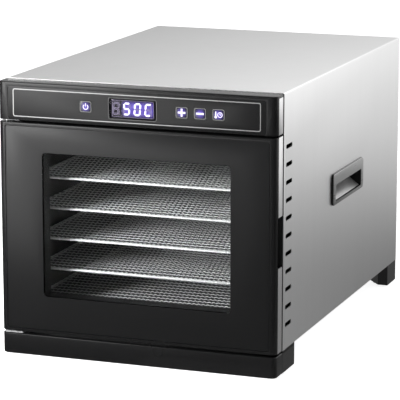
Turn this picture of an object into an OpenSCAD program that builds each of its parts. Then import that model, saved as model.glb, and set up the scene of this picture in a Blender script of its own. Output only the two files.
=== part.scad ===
// Cabinet food dehydrator: a steel box with a glazed, side-hung door, six wire
// trays on side rails, and a fan and ring heater behind a perforated baffle.
// Millimetres. X runs to the right, Y to the back, Z up; the origin is on the
// surface that it stands on, under the middle of the cabinet.

/* [Cabinet] */
// Width of the steel cabinet
body_w = 340; // [330:1:380]
// Depth from the front of the door to the back of the cabinet
body_d = 510; // [500:1:560]
// Height above the surface that it stands on
body_h = 326; // [322:1:336]
// Thickness of the steel sheet
sheet = 1; // [0.8:0.1:1.2]
// Depth of the black front mouldings
front_d = 22; // [21:0.5:24]
// Radius of the front upright corners
corner_r = 7; // [5:0.5:8]
// Height of the front plinth
plinth_h = 26; // [25:0.5:26]

/* [Door] */
// Width of the window
window_w = 231; // [180:1:240]
// Height of the window
window_h = 171; // [140:1:180]
// Height of the window's middle
window_z = 159; // [150:1:165]
// Length of the finger notch in the door's free edge
notch_l = 59; // [40:1:80]

/* [Trays] */
// Distance from one tray to the next
tray_pitch = 36.6; // [34:0.2:38]
// Height of the lowest tray's rim
tray_first_z = 61.2; // [56:0.2:64]
// Width of a tray
tray_w = 294; // [288:1:296]
// Length of a tray
tray_l = 340; // [300:1:342]

/* [Side panels] */
// Number of outlet slots in a column
slot_count = 11; // [5:1:11]
// Length of an outlet slot
slot_l = 22; // [12:1:24]
// Width of the handle's flange
handle_w = 128; // [122:1:140]
// Height of the handle's flange
handle_h = 39; // [39:1:46]

/* [Keys] */
// Width of a key
key_w = 15; // [13:0.5:16]
// Height of a key
key_h = 13.4; // [12:0.2:14]

/* [Hidden] */
$fn = 48;
SIDES = [-1, 1];

// Front to back
half_w = body_w / 2;
front_y = -body_d / 2;
back_y = body_d / 2;
front_back_y = front_y + front_d;
frame_y = front_back_y + 3.4;
frame_t = 1.5;
wrap_y = frame_y + 0.6;
back_panel_y = back_y - 2.5;
flange_y = back_panel_y - sheet;
flange_w = 20;

// Bottom to top
pad_h = 1.5;
base_z = 28;
door_z0 = 29;
door_z1 = 278.5;
door_mid_z = (door_z0 + door_z1) / 2;
fascia_z0 = 281;
fascia_z1 = body_h - 0.5;
fascia_lid = 3;

// Feet
foot_w = 30;
foot_l = 70;
foot_screw_x = half_w - 15;
foot_screw_y = [front_y + 50, back_y - 14];

// Drying chamber
chamber_x = 150;
chamber_z0 = 39;
chamber_z1 = 272;
chamber_y0 = frame_y + frame_t;
baffle_y = 132;
ledge_w = 8;
ledge_gap = 0.3;
tray_y0 = front_y + 40;
rim_r = 2;
rim_corner = 12;
mesh_t = 0.6;

// Outlet slots
slot_h = 5;
slot_first_z = 56.5;
slot_pitch = 20.7;
slot_y = front_y + 45;

// Handles: a flange on the side panel and a scoop behind it, open downwards
handle_y = 19;
handle_z = 179.5;
handle_proud = 3;
scoop_l = 109;
scoop_z0 = handle_z - 15;
scoop_z1 = scoop_z0 + 20.5;
scoop_x = half_w - 16;
scoop_rise = 12;
scoop_top = scoop_z1 + 8;
scoop_wall = 1.5;

// Fascia
fascia_wall = 3.5;
overlay_w = 315;
overlay_h = 38.4;
overlay_z = 301.6;
overlay_y = front_y + 0.4;
overlay_t = 1.6;
border_w = 302;
border_h = 32.6;
border_t = 1.1;
display_x = -2.7;
display_w = 60;
display_h = 25.7;
digits_w = 51.2;
digits_h = 20;
key_r = 2.5;
key_x = [-60, 57, 79, 101];
key_y = front_y + 0.1;
key_l = 5.4;
key_gap = 0.3;
board_y = front_y + 11.6;
board_t = 1.6;
board_w = 232;
board_h = 32;

// Door
rail_w = 16;
rail_h = 12;
glass_w = 324;
glass_h = door_z1 - door_z0 - 8;
glass_y = front_y + 0.3;
glass_t = 4;
mask_t = 1;
liner_y = glass_y + glass_t + mask_t;
liner_wall = 2;
strip_y = front_y + corner_r + 1;
strip_t = 1.2;
notch_z = 157.5;
notch_y = front_y + 5.5;
notch_deep = 11;
gasket_w = 6;
gasket_t = 3.2;
gasket_x = 157;
gasket_z0 = 34;
gasket_z1 = 275;
magnet_l = 30;
magnet_w = 8;
magnet_x = half_w - 6.5;
magnet_z = [window_z - 70, window_z + 70];

// Hinge
hinge_x = -half_w + 8;
hinge_y = front_y + 11.5;
hinge_t = 1.2;
pin_r = 2.5;
bush_r = 4;
bush_gap = 0.05;
bush_l = 12;

// Fan and heater
fan_z = 155;
fan_y = baffle_y + 10;
fan_r = 60;
fan_l = 16;
blade_count = 7;
hub_r = 14;
shaft_r = 3;
shaft_gap = 0.05;
motor_r = 33;
motor_l = 38;
bracket_y = fan_y + fan_l + 8;
bracket_x = 94;
bracket_t = 1.8;
heater_tube_r = 3.2;
heater_y = fan_y + 8;
heater_gap = 30;

// Sensors beside the fan
sensor_x = 62;
sensor_z = 256;

// Power board above the chamber, and the mains inlet
power_z = 286;
power_w = 120;
power_y = [-150, -50];
power_t = 1.6;
inlet_x = 112;
inlet_z = 62;
inlet_w = 32;
inlet_h = 24;
lead_r = 1.6;
lead_y = 218;
lead_z = 300;

// ---------- Shared shapes ----------

module block(lo, hi) translate(lo) cube(hi - lo);

module rounded_rect(w, h, r) {
    square([w - 2 * r, h], center = true);
    square([w, h - 2 * r], center = true);
    for (x = SIDES, y = SIDES)
        translate([x * (w / 2 - r), y * (h / 2 - r)])
            circle(r);
}

// A flat shape stood up in the XZ plane, from y0 back to y1
module upright(x, z, y0, y1)
    translate([x, y1, z])
        rotate([90, 0, 0])
            linear_extrude(y1 - y0)
                children();

module upright_plate(x, z, w, h, r, y0, y1)
    upright(x, z, y0, y1)
        rounded_rect(w, h, r);

module upright_ring(x, z, w, h, r, wall, y0, y1)
    difference() {
        upright_plate(x, z, w, h, r, y0, y1);
        upright_plate(x, z, w - 2 * wall, h - 2 * wall, max(r - wall, 0.5), y0 - 1, y1 + 1);
    }

module rod_y(x, z, r, y0, y1)
    translate([x, y0, z])
        rotate([-90, 0, 0])
            cylinder(r = r, h = y1 - y0);

module rod_x(x0, x1, y, z, r)
    translate([x0, y, z])
        rotate([0, 90, 0])
            cylinder(r = r, h = x1 - x0);

module rod_z(x, y, z0, z1, r)
    translate([x, y, z0])
        cylinder(r = r, h = z1 - z0);

// A plate with round corners in the YZ plane, from x0 to x1
module side_plate(y, z, l, h, r, x0, x1)
    translate([x0, y, z])
        rotate([90, 0, 90])
            linear_extrude(x1 - x0)
                rounded_rect(l, h, r);

// Makes a part for the right-hand side, or its mirror image for the left
module on_side(side)
    mirror([side > 0 ? 0 : 1, 0, 0])
        children();

// The plan of a front moulding, with its two front corners round
module front_plan(y1) {
    translate([-half_w, front_y + corner_r])
        square([body_w, y1 - front_y - corner_r]);
    translate([-half_w + corner_r, front_y])
        square([body_w - 2 * corner_r, corner_r + 1]);
    for (x = SIDES)
        translate([x * (half_w - corner_r), front_y + corner_r])
            circle(corner_r);
}

module front_block(z0, z1, y1)
    translate([0, 0, z0])
        linear_extrude(z1 - z0)
            front_plan(y1);

// A steel strip let into the side of a front moulding
module edge_strip(side, z0, z1, y1)
    on_side(side)
        block([half_w - strip_t, strip_y, z0], [half_w, y1, z1]);

module strip_seats(z0, z1)
    for (x = SIDES)
        on_side(x)
            block([half_w - strip_t, strip_y, z0], [half_w + 1, front_back_y + 1, z1]);

module outlet_slots(x0, x1)
    for (k = [0 : slot_count - 1])
        side_plate(slot_y, slot_first_z + k * slot_pitch, slot_l, slot_h, 2.2, x0, x1);

// A pan-head screw driven along -Z, head on the plane z = 0
module screw(head_r, head_h, shank_r, shank_l) {
    difference() {
        cylinder(r = head_r, h = head_h);
        for (a = [0, 90])
            rotate([0, 0, a])
                translate([-head_r * 0.6, -head_r * 0.12, head_h / 2])
                    cube([head_r * 1.2, head_r * 0.24, head_h]);
    }
    translate([0, 0, -shank_l])
        cylinder(r = shank_r, h = shank_l);
}

module screw_y(x, z, y, head_r, shank_l)
    translate([x, y, z])
        rotate([-90, 0, 0])
            screw(head_r, 1.2, 1.5, shank_l);

// ---------- Cabinet ----------

module outer_wrap()
    color("gainsboro")
        difference() {
            union() {
                difference() {
                    block([-half_w, wrap_y, base_z], [half_w, back_y, body_h]);
                    block(
                        [-half_w + sheet, wrap_y - 1, base_z - 1],
                        [half_w - sheet, back_y + 1, body_h - sheet]
                    );
                }
                // Flange turned in at the back, which the back panel is screwed to
                difference() {
                    block(
                        [-half_w + sheet / 2, flange_y, base_z + sheet],
                        [half_w - sheet / 2, back_panel_y, body_h - sheet / 2]
                    );
                    block(
                        [-half_w + flange_w, flange_y - 1, base_z + flange_w],
                        [half_w - flange_w, back_panel_y + 1, body_h - flange_w]
                    );
                }
            }
            for (x = SIDES)
                on_side(x) {
                    outlet_slots(half_w - 3, half_w + 3);
                    scoop_opening(half_w - 3, half_w + 3, scoop_wall + 0.4);
                }
            for (p = back_screw_spots())
                rod_y(p.x, p.y, 1.6, flange_y - 1, back_panel_y + 1);
        }

module base_pan()
    color("silver")
        difference() {
            block([-half_w + sheet, frame_y, base_z], [half_w - sheet, flange_y, base_z + sheet]);
            for (x = SIDES, y = foot_screw_y)
                rod_z(x * foot_screw_x, y, base_z - 1, base_z + sheet + 1, 1.8);
        }

module back_vents()
    for (x = SIDES, row = [0 : 9])
        upright_plate(x * 32, fan_z - 45 + row * 10, 46, 3.6, 1.7, back_panel_y - 1, back_panel_y + 3);

function back_screw_spots() = [
    for (x = [-1, 0, 1], z = SIDES) [x * (half_w - 12), (body_h + base_z) / 2 + z * 138]
];

module back_panel()
    color("silver")
        difference() {
            block(
                [-half_w + sheet + 0.2, back_panel_y, base_z + sheet + 0.2],
                [half_w - sheet - 0.2, back_panel_y + sheet, body_h - sheet - 0.2]
            );
            back_vents();
            upright_plate(inlet_x, inlet_z, inlet_w - 5, inlet_h - 5, 2, back_panel_y - 1, back_panel_y + 3);
            for (p = back_screw_spots())
                rod_y(p.x, p.y, 1.6, back_panel_y - 1, back_panel_y + 3);
        }

module back_screws()
    color("dimgray")
        for (p = back_screw_spots())
            screw_y(p.x, p.y, back_panel_y + sheet, 3.2, 7);

module front_frame()
    color("#222222")
        difference() {
            block(
                [-half_w + sheet, frame_y, base_z + sheet],
                [half_w - sheet, frame_y + frame_t, fascia_z1 - fascia_lid - 0.3]
            );
            block(
                [-chamber_x, frame_y - 1, chamber_z0],
                [chamber_x, frame_y + 3, chamber_z1]
            );
            block(
                [-board_w / 2, frame_y - 1, fascia_z0 + 8],
                [board_w / 2, frame_y + 3, body_h - 12]
            );
        }

module plinth()
    color("#1a1a1a")
        difference() {
            union() {
                front_block(pad_h, plinth_h, frame_y);
                for (x = SIDES)
                    on_side(x) {
                        block([half_w - foot_w, frame_y - 1, pad_h], [half_w, front_y + foot_l, plinth_h]);
                        block([half_w - foot_w, wrap_y, plinth_h - 1], [half_w, front_y + foot_l, base_z]);
                    }
            }
            // Hollow under the beam between the two corner feet
            block(
                [-half_w + foot_w + 2, front_y + 3, 0],
                [half_w - foot_w - 2, frame_y + 1, plinth_h - 3]
            );
            foot_screw_holes();
        }

module foot_screw_holes()
    for (x = SIDES, y = foot_screw_y)
        rod_z(x * foot_screw_x, y, 10, base_z + 1, 1.6);

module rear_foot(side)
    color("#1a1a1a")
        difference() {
            on_side(side)
                translate([0, 0, pad_h])
                    linear_extrude(base_z - pad_h)
                        polygon([
                            [half_w, back_y - 40], [half_w - 13, back_y - 40],
                            [half_w - 31.4, back_y - 16], [half_w - 31.4, back_y - 1],
                            [half_w, back_y - 1]
                        ]);
            foot_screw_holes();
        }

module rear_foot_left() rear_foot(-1);
module rear_foot_right() rear_foot(1);

module foot_pads()
    color("#0c0c0c")
        for (x = SIDES, y = [front_y + 40, back_y - 16])
            translate([x * (half_w - 14), y, 0])
                linear_extrude(pad_h)
                    rounded_rect(20, 20, 4);

module foot_screws()
    color("dimgray")
        for (x = SIDES, y = foot_screw_y)
            translate([x * foot_screw_x, y, base_z + sheet])
                screw(3, 1.2, 1.5, 16);

// ---------- Drying chamber ----------

function tray_z(k) = tray_first_z + k * tray_pitch;

module side_rack(side)
    color("silver")
        on_side(side)
            difference() {
                union() {
                    block([chamber_x, chamber_y0, chamber_z0], [chamber_x + sheet, baffle_y, chamber_z1]);
                    for (k = [0 : 5])
                        block(
                            [chamber_x - ledge_w, chamber_y0 + 3, tray_z(k) - rim_r - ledge_gap - sheet],
                            [chamber_x + sheet / 2, baffle_y - 4, tray_z(k) - rim_r - ledge_gap]
                        );
                }
                outlet_slots(chamber_x - 0.5, chamber_x + 4);
            }

module side_rack_left() side_rack(-1);
module side_rack_right() side_rack(1);

module chamber_plate(z0)
    color("silver")
        block([-chamber_x - sheet, chamber_y0, z0], [chamber_x + sheet, baffle_y, z0 + sheet]);

module chamber_top() chamber_plate(chamber_z1);
module chamber_floor() chamber_plate(chamber_z0 - sheet);

// Rings of round holes in front of the fan, six more in each ring
module intake_holes()
    for (ring = [1 : 5], k = [0 : 6 * ring - 1])
        rotate([0, k * 60 / ring, 0])
            rod_y(0, ring * 9.6, 3, baffle_y - 1, baffle_y + 3);

module return_slots()
    for (x = SIDES, row = [0 : 16])
        upright_plate(x * 118, chamber_z0 + 20 + row * 12, 34, 5, 2.4, baffle_y - 1, baffle_y + 3);

module fan_baffle()
    color("silver")
        difference() {
            block(
                [-chamber_x - sheet, baffle_y, chamber_z0 - sheet],
                [chamber_x + sheet, baffle_y + sheet, chamber_z1 + sheet]
            );
            translate([0, 0, fan_z])
                intake_holes();
            return_slots();
            rod_y(-sensor_x, sensor_z, 2.6, baffle_y - 1, baffle_y + 3);
        }

// A tray: a rod bent round its edge, and the mesh as a thin plate inside it
module tray(k)
    color("lightgray")
        translate([0, tray_y0 + tray_l / 2, tray_z(k)]) {
            x = tray_w / 2 - rim_r;
            y = tray_l / 2 - rim_r;
            union() {
                for (s = SIDES) {
                    translate([s * x, -y + rim_corner, 0])
                        rotate([-90, 0, 0])
                            cylinder(r = rim_r, h = 2 * (y - rim_corner));
                    rod_x(-x + rim_corner, x - rim_corner, s * y, 0, rim_r);
                }
                for (c = [[1, 1, 0], [-1, 1, 90], [-1, -1, 180], [1, -1, 270]])
                    translate([c.x * (x - rim_corner), c.y * (y - rim_corner), 0])
                        rotate([0, 0, c.z])
                            rotate_extrude(angle = 90)
                                translate([rim_corner, 0])
                                    circle(rim_r);
                translate([0, 0, -mesh_t / 2])
                    linear_extrude(mesh_t)
                        rounded_rect(2 * x, 2 * y, rim_corner);
            }
        }

module tray_1() tray(0);
module tray_2() tray(1);
module tray_3() tray(2);
module tray_4() tray(3);
module tray_5() tray(4);
module tray_6() tray(5);

// ---------- Fascia ----------

module key_openings(grow, y0, y1)
    for (x = key_x)
        upright_plate(x, overlay_z, key_w + 2 * grow, key_h + 2 * grow, key_r + grow, y0, y1);

module fascia_shell()
    color("#202020")
        difference() {
            union() {
                difference() {
                    front_block(fascia_z0, fascia_z1, front_back_y);
                    block(
                        [-half_w + 5, front_y + fascia_wall, fascia_z0 + fascia_lid],
                        [half_w - 5, front_back_y + 1, fascia_z1 - fascia_lid]
                    );
                }
                // Lid carried back to the steel top
                block(
                    [-half_w + sheet, front_back_y - 1, fascia_z1 - fascia_lid],
                    [half_w - sheet, wrap_y - 0.2, fascia_z1]
                );
                // Posts that stand on the front frame
                for (x = SIDES)
                    on_side(x)
                        block(
                            [board_w / 2 + 8, front_back_y - 8, fascia_z0 + 1],
                            [board_w / 2 + 18, frame_y, fascia_z1 - fascia_lid - 0.3]
                        );
                // Pillars for the control board
                for (p = board_screw_spots())
                    rod_y(p.x, p.y, 3.2, front_y + fascia_wall - 0.5, board_y);
            }
            strip_seats(fascia_z0 - 1, fascia_z1 - fascia_lid);
            upright_plate(0, overlay_z, overlay_w, overlay_h, 3, front_y - 1, overlay_y + overlay_t);
            key_openings(key_gap, front_y, front_y + 5);
            upright_plate(display_x, overlay_z, display_w, display_h, 3.5, front_y, front_y + 5);
        }

module fascia_edge_strips()
    color("gainsboro")
        for (x = SIDES)
            edge_strip(x, fascia_z0, fascia_z1 - fascia_lid, front_back_y);

module control_overlay()
    color("#333333")
        difference() {
            upright_plate(0, overlay_z, overlay_w - 0.2, overlay_h - 0.2, 2.9, overlay_y, overlay_y + overlay_t);
            key_openings(key_gap, overlay_y - 1, overlay_y + 3);
            upright_plate(display_x, overlay_z, display_w, display_h, 3.5, overlay_y - 1, overlay_y + 3);
        }

module overlay_border()
    color("silver")
        upright_ring(0, overlay_z, border_w, border_h, 2.5, border_t, overlay_y - 0.3, overlay_y);

module display_lens()
    color("#181825")
        upright_plate(
            display_x, overlay_z, display_w - 0.2, display_h - 0.2, 3.4,
            overlay_y - 0.1, overlay_y + 1.4
        );

module led_display()
    color("#101018")
        upright_plate(display_x, overlay_z, digits_w, digits_h, 1, overlay_y + 1.5, board_y);

function board_screw_spots() = [
    for (x = SIDES, z = SIDES) [x * (board_w / 2 - 4), overlay_z + z * (board_h / 2 - 4)]
];

module control_board()
    color("darkgreen")
        upright_plate(0, overlay_z, board_w, board_h, 1, board_y, board_y + board_t);

module key_switches()
    color("#303030")
        for (x = key_x) {
            upright_plate(x, overlay_z, 6, 6, 0.6, board_y - 3.6, board_y);
            rod_y(x, overlay_z, 1.7, board_y - 5.3, board_y - 3.6);
        }

// A key, with a flange behind the fascia's wall that keeps it in
module key_cap(k)
    color("#5b4db0")
        union() {
            upright_plate(key_x[k], overlay_z, key_w, key_h, key_r, key_y, key_y + key_l);
            upright_plate(
                key_x[k], overlay_z, key_w + 2, key_h + 2, key_r,
                front_y + fascia_wall + 0.3, front_y + fascia_wall + 1.5
            );
        }

module power_key() key_cap(0);
module plus_key() key_cap(1);
module minus_key() key_cap(2);
module mode_key() key_cap(3);

// ---------- Door ----------

// Room for fingertips in the free edge, open towards the cabinet
module notch_cut() {
    y1 = front_back_y + 5;
    side_plate((notch_y + y1) / 2, notch_z, y1 - notch_y, notch_l, 3, half_w - notch_deep, half_w + 1);
}

module magnet_blocks(grow, y0, y1)
    for (z = magnet_z)
        upright_plate(magnet_x, z, magnet_w + 2 * grow, magnet_l + 2 * grow, 1, y0, y1);

module bush_holes()
    for (z = [door_z0 - 1, door_z1 - bush_l])
        rod_z(hinge_x, hinge_y, z, z + bush_l + 1, bush_r);

module window_cut()
    upright_plate(0, window_z, window_w, window_h, 4, front_y - 1, front_back_y + 1);

module door_shell()
    color("#202020")
        difference() {
            front_block(door_z0, door_z1, front_back_y);
            strip_seats(door_z0 - 1, door_z1 + 1);
            upright_plate(0, door_mid_z, glass_w, glass_h, 3, front_y - 1, glass_y + glass_t);
            block(
                [-half_w + rail_w, front_y + 3, door_z0 + rail_h],
                [half_w - rail_w, front_back_y + 1, door_z1 - rail_h]
            );
            notch_cut();
            magnet_blocks(0, front_back_y - 6, front_back_y + 1);
            bush_holes();
        }

module door_glass()
    color([0.3, 0.35, 0.4, 0.4])
        upright_plate(0, door_mid_z, glass_w - 0.4, glass_h - 0.4, 2.8, glass_y, glass_y + glass_t);

module window_mask()
    color("#080808")
        difference() {
            block(
                [-half_w + rail_w + 0.2, glass_y + glass_t, door_z0 + rail_h + 0.2],
                [half_w - rail_w - 0.2, liner_y, door_z1 - rail_h - 0.2]
            );
            window_cut();
        }

function liner_screw_spots() = [
    for (x = SIDES, z = [-1, 0, 1]) [x * (half_w - rail_w - 14), window_z + z * 88]
];

module door_liner()
    color("#2a2a2a")
        difference() {
            union() {
                block(
                    [-half_w + rail_w + 0.2, front_back_y - liner_wall, door_z0 + rail_h + 0.2],
                    [half_w - rail_w - 0.2, front_back_y, door_z1 - rail_h - 0.2]
                );
                upright_ring(
                    0, door_mid_z, body_w - 2 * rail_w - 0.4, door_z1 - door_z0 - 2 * rail_h - 0.4,
                    1, liner_wall, liner_y, front_back_y - liner_wall / 2
                );
                upright_plate(
                    0, window_z, window_w + 2 * liner_wall, window_h + 2 * liner_wall, 5,
                    liner_y, front_back_y - liner_wall / 2
                );
                for (p = liner_screw_spots())
                    rod_y(p.x, p.y, 4, liner_y, front_back_y - liner_wall / 2);
            }
            window_cut();
            for (p = liner_screw_spots())
                rod_y(p.x, p.y, 1.6, liner_y + 2, front_back_y + 1);
        }

module liner_screws()
    color("dimgray")
        for (p = liner_screw_spots())
            screw_y(p.x, p.y, front_back_y, 3, 8);

module door_gasket()
    color("#101010")
        upright_ring(
            0, (gasket_z0 + gasket_z1) / 2, 2 * gasket_x, gasket_z1 - gasket_z0, 10, gasket_w,
            front_back_y, front_back_y + gasket_t
        );

module door_edge_strip_left()
    color("gainsboro")
        edge_strip(-1, door_z0, door_z1, front_back_y);

module door_edge_strip_right()
    color("gainsboro")
        difference() {
            edge_strip(1, door_z0, door_z1, front_back_y);
            notch_cut();
        }

module door_magnets()
    color("dimgray")
        magnet_blocks(0, front_back_y - 6, front_back_y + 1.2);

module catch_plates()
    color("silver")
        magnet_blocks(-0.5, frame_y - 1, frame_y);

module hinge_bushes()
    color("ivory")
        for (z = [door_z0, door_z1 - bush_l])
            difference() {
                rod_z(hinge_x, hinge_y, z, z + bush_l, bush_r);
                rod_z(hinge_x, hinge_y, z - 1, z + bush_l + 1, pin_r + bush_gap);
            }

// A hinge plate with its riveted pin and washer, lower or upper
module hinge_plate(z0, pin_z0, pin_z1, washer_z0)
    color("silver")
        union() {
            block([hinge_x - 6, hinge_y - 5, z0], [hinge_x + 16, frame_y, z0 + hinge_t]);
            rod_z(hinge_x, hinge_y, pin_z0, pin_z1, pin_r);
            rod_z(hinge_x, hinge_y, washer_z0, washer_z0 + 1, pin_r + 2.5);
        }

module upper_hinge()
    hinge_plate(fascia_z0 - hinge_t, door_z1 - bush_l + 1, fascia_z0, fascia_z0 - hinge_t - 0.9);

module lower_hinge()
    hinge_plate(plinth_h, plinth_h, door_z0 + bush_l - 1, plinth_h + hinge_t - 0.1);

// ---------- Fan, heater and electrics ----------

module fan_impeller()
    color("silver")
        translate([0, fan_y, fan_z])
            rotate([-90, 0, 0])
                difference() {
                    union() {
                        cylinder(r = hub_r, h = fan_l);
                        translate([0, 0, fan_l - 1.2])
                            cylinder(r = fan_r, h = 1.2);
                        for (k = [0 : blade_count - 1])
                            rotate([0, 0, k * 360 / blade_count])
                                translate([hub_r - 2, -0.6, 0])
                                    cube([fan_r - hub_r, 1.2, fan_l]);
                    }
                    translate([0, 0, 2])
                        cylinder(r = shaft_r + shaft_gap, h = fan_l);
                }

module motor_shaft()
    color("gainsboro")
        rod_y(0, fan_z, shaft_r, fan_y + 3, bracket_y + bracket_t + 10);

module fan_motor()
    color("dimgray")
        difference() {
            union() {
                rod_y(0, fan_z, motor_r, bracket_y + bracket_t, bracket_y + bracket_t + motor_l);
                rod_y(0, fan_z, 12, bracket_y + motor_l, bracket_y + motor_l + 8);
            }
            rod_y(0, fan_z, shaft_r + shaft_gap, bracket_y - 1, bracket_y + bracket_t + 11);
        }

module motor_bracket()
    color("silver")
        difference() {
            union() {
                block(
                    [-bracket_x, bracket_y, fan_z - 18],
                    [bracket_x, bracket_y + bracket_t, fan_z + 18]
                );
                for (x = SIDES)
                    on_side(x) {
                        block(
                            [bracket_x - bracket_t, baffle_y + sheet, fan_z - 18],
                            [bracket_x, bracket_y + bracket_t, fan_z + 18]
                        );
                        block(
                            [bracket_x - bracket_t, baffle_y + sheet, fan_z - 18],
                            [bracket_x + 10, baffle_y + sheet + bracket_t, fan_z + 18]
                        );
                    }
            }
            rod_y(0, fan_z, 5, bracket_y - 1, bracket_y + 3);
        }

// One sheathed element: most of a circle, with a terminal to the back at either end
module heater_loop(r)
    translate([0, heater_y, fan_z])
        rotate([90, 0, 0])
            union() {
                rotate([0, 0, heater_gap / 2 - 90])
                    rotate_extrude(angle = 360 - heater_gap)
                        translate([r, 0])
                            circle(heater_tube_r);
                for (a = [heater_gap / 2 - 90, -heater_gap / 2 - 90])
                    translate([r * cos(a), r * sin(a), -24])
                        cylinder(r = heater_tube_r + 0.6, h = 24 + heater_tube_r + 0.6);
            }

module heater_loops()
    color("#4a3f3a")
        for (r = [72, 82])
            heater_loop(r);

module heater_clips()
    color("silver")
        for (a = [45, 135, 225, 315])
            translate([0, 0, fan_z])
                rotate([0, a, 0])
                    union() {
                        block([85.8, baffle_y + sheet, -6], [87.2, heater_y + 4.8, 6]);
                        block([68, heater_y + 3.4, -6], [87.2, heater_y + 4.8, 6]);
                    }

module thermal_cutout()
    color("dimgray")
        union() {
            rod_y(sensor_x, sensor_z, 8, baffle_y + sheet, baffle_y + sheet + 7);
            for (x = SIDES)
                block(
                    [sensor_x + x * 4 - 1.5, baffle_y + sheet + 6, sensor_z - 0.4],
                    [sensor_x + x * 4 + 1.5, baffle_y + 17, sensor_z + 0.4]
                );
        }

module air_probe()
    color("silver")
        union() {
            rod_y(-sensor_x, sensor_z, 2.4, baffle_y - 14, baffle_y + 14);
            rod_y(-sensor_x, sensor_z, 5, baffle_y + sheet, baffle_y + sheet + 3);
        }

module power_board()
    color("darkgreen") {
        x = power_w / 2;
        z = power_z + power_t;
        union() {
            block([-x, power_y[0], power_z], [x, power_y[1], z]);
            for (s = SIDES, y = [power_y[0] + 6, power_y[1] - 6])
                rod_z(s * (x - 6), y, chamber_z1 + sheet, power_z + 1, 3);
            // Relay, transformer, mains terminals and two capacitors
            block([-x + 10, power_y[0] + 10, power_z + 1], [-x + 32, power_y[0] + 38, z + 15]);
            block([-12, power_y[0] + 12, power_z + 1], [18, power_y[0] + 42, z + 20]);
            block([-x + 10, power_y[1] - 30, power_z + 1], [-x + 50, power_y[1] - 8, z + 8]);
            for (y = [power_y[0] + 20, power_y[0] + 40])
                rod_z(x - 20, y, power_z + 1, z + 20, 8);
        }
    }

module ribbon_cable()
    color("lightgray")
        union() {
            block([30, board_y + board_t, power_z + 9], [50, power_y[0] + 4, power_z + 9.8]);
            block([30, power_y[0] + 3.2, power_z + power_t], [50, power_y[0] + 4, power_z + 9.8]);
        }

module mains_inlet()
    color("#101010")
        difference() {
            union() {
                upright_plate(inlet_x, inlet_z, inlet_w, inlet_h, 3, back_panel_y + sheet, back_y - 0.2);
                upright_plate(
                    inlet_x, inlet_z, inlet_w - 5.4, inlet_h - 5.4, 2,
                    back_y - 26, back_panel_y + sheet + 0.5
                );
            }
            difference() {
                upright_plate(inlet_x, inlet_z, inlet_w - 9, inlet_h - 9, 2, back_y - 18, back_y + 1);
                for (p = [[-7, -2], [0, 3], [7, -2]])
                    block(
                        [inlet_x + p.x - 1, back_y - 19, inlet_z + p.y - 2],
                        [inlet_x + p.x + 1, back_y - 4, inlet_z + p.y + 2]
                    );
            }
        }

// Three leads from the inlet up the back and forward to the power board's terminals
module mains_leads()
    color("saddlebrown")
        for (k = [-1, 0, 1]) {
            x = inlet_x + 6 * k;
            y = lead_y;
            board_end = power_y[1] - 19 - 6 * k;
            union() {
                rod_y(x, inlet_z, lead_r, y, back_y - 26);
                translate([x, y, inlet_z]) sphere(lead_r);
                rod_z(x, y, inlet_z, lead_z, lead_r);
                translate([x, y, lead_z]) sphere(lead_r);
                rod_y(x, lead_z, lead_r, board_end, y);
                translate([x, board_end, lead_z]) sphere(lead_r);
                rod_x(-30, x, board_end, lead_z, lead_r);
                translate([-30, board_end, lead_z]) sphere(lead_r);
                rod_z(-30, board_end, power_z + power_t + 8, lead_z, lead_r);
            }
        }

// ---------- Handles ----------

// The scoop's opening through the side, widened by `grow` for the scoop's own wall
module scoop_opening(x0, x1, grow)
    block(
        [x0, handle_y - scoop_l / 2 - grow, scoop_z0 - grow],
        [x1, handle_y + scoop_l / 2 + grow, scoop_top + grow]
    );

module scoop_solid(grow)
    translate([0, handle_y + scoop_l / 2 + grow, 0])
        rotate([90, 0, 0])
            linear_extrude(scoop_l + 2 * grow)
                polygon([
                    [half_w - 0.5, scoop_z0 - grow],
                    [scoop_x - grow, scoop_z0 + scoop_rise - grow],
                    [scoop_x - grow, scoop_top + grow],
                    [half_w - 0.5, scoop_top + grow]
                ]);

module handle_cup(side)
    color("#3a3a3a")
        on_side(side)
            difference() {
                union() {
                    side_plate(handle_y, handle_z, handle_w, handle_h, 6, half_w, half_w + handle_proud);
                    scoop_solid(scoop_wall);
                    block(
                        [half_w - 1, handle_y - scoop_l / 2 - 1, scoop_z0 - 1],
                        [half_w + 0.5, handle_y + scoop_l / 2 + 1, scoop_top + 1]
                    );
                }
                difference() {
                    scoop_solid(0);
                    block(
                        [half_w - 2, handle_y - scoop_l, scoop_z1],
                        [half_w, handle_y + scoop_l, scoop_top + 1]
                    );
                }
                side_plate(
                    handle_y, (scoop_z0 + scoop_z1) / 2, scoop_l, scoop_z1 - scoop_z0, 2,
                    half_w - 1, half_w + handle_proud + 1
                );
            }

module handle_cup_left() handle_cup(-1);
module handle_cup_right() handle_cup(1);

outer_wrap();
base_pan();
back_panel();
front_frame();
plinth();
rear_foot_left();
rear_foot_right();
foot_pads();
side_rack_left();
side_rack_right();
chamber_top();
chamber_floor();
fan_baffle();
fascia_shell();
fascia_edge_strips();
control_overlay();
overlay_border();
display_lens();
led_display();
control_board();
key_switches();
power_key();
plus_key();
minus_key();
mode_key();
door_shell();
door_liner();
door_glass();
window_mask();
door_gasket();
door_edge_strip_left();
door_edge_strip_right();
door_magnets();
catch_plates();
hinge_bushes();
upper_hinge();
lower_hinge();
tray_1();
tray_2();
tray_3();
tray_4();
tray_5();
tray_6();
fan_impeller();
motor_shaft();
fan_motor();
motor_bracket();
heater_loops();
heater_clips();
thermal_cutout();
air_probe();
power_board();
ribbon_cable();
mains_inlet();
mains_leads();
handle_cup_left();
handle_cup_right();
back_screws();
foot_screws();
liner_screws();
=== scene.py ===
"""The look of a cabinet food dehydrator, built round its CAD frame.

The steel wrap, black mouldings, glass, handles, wire trays, keys and reading are made here
in metres, in the frame's own axes: X to the right, Y to the back, Z up.
"""

import math

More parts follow.
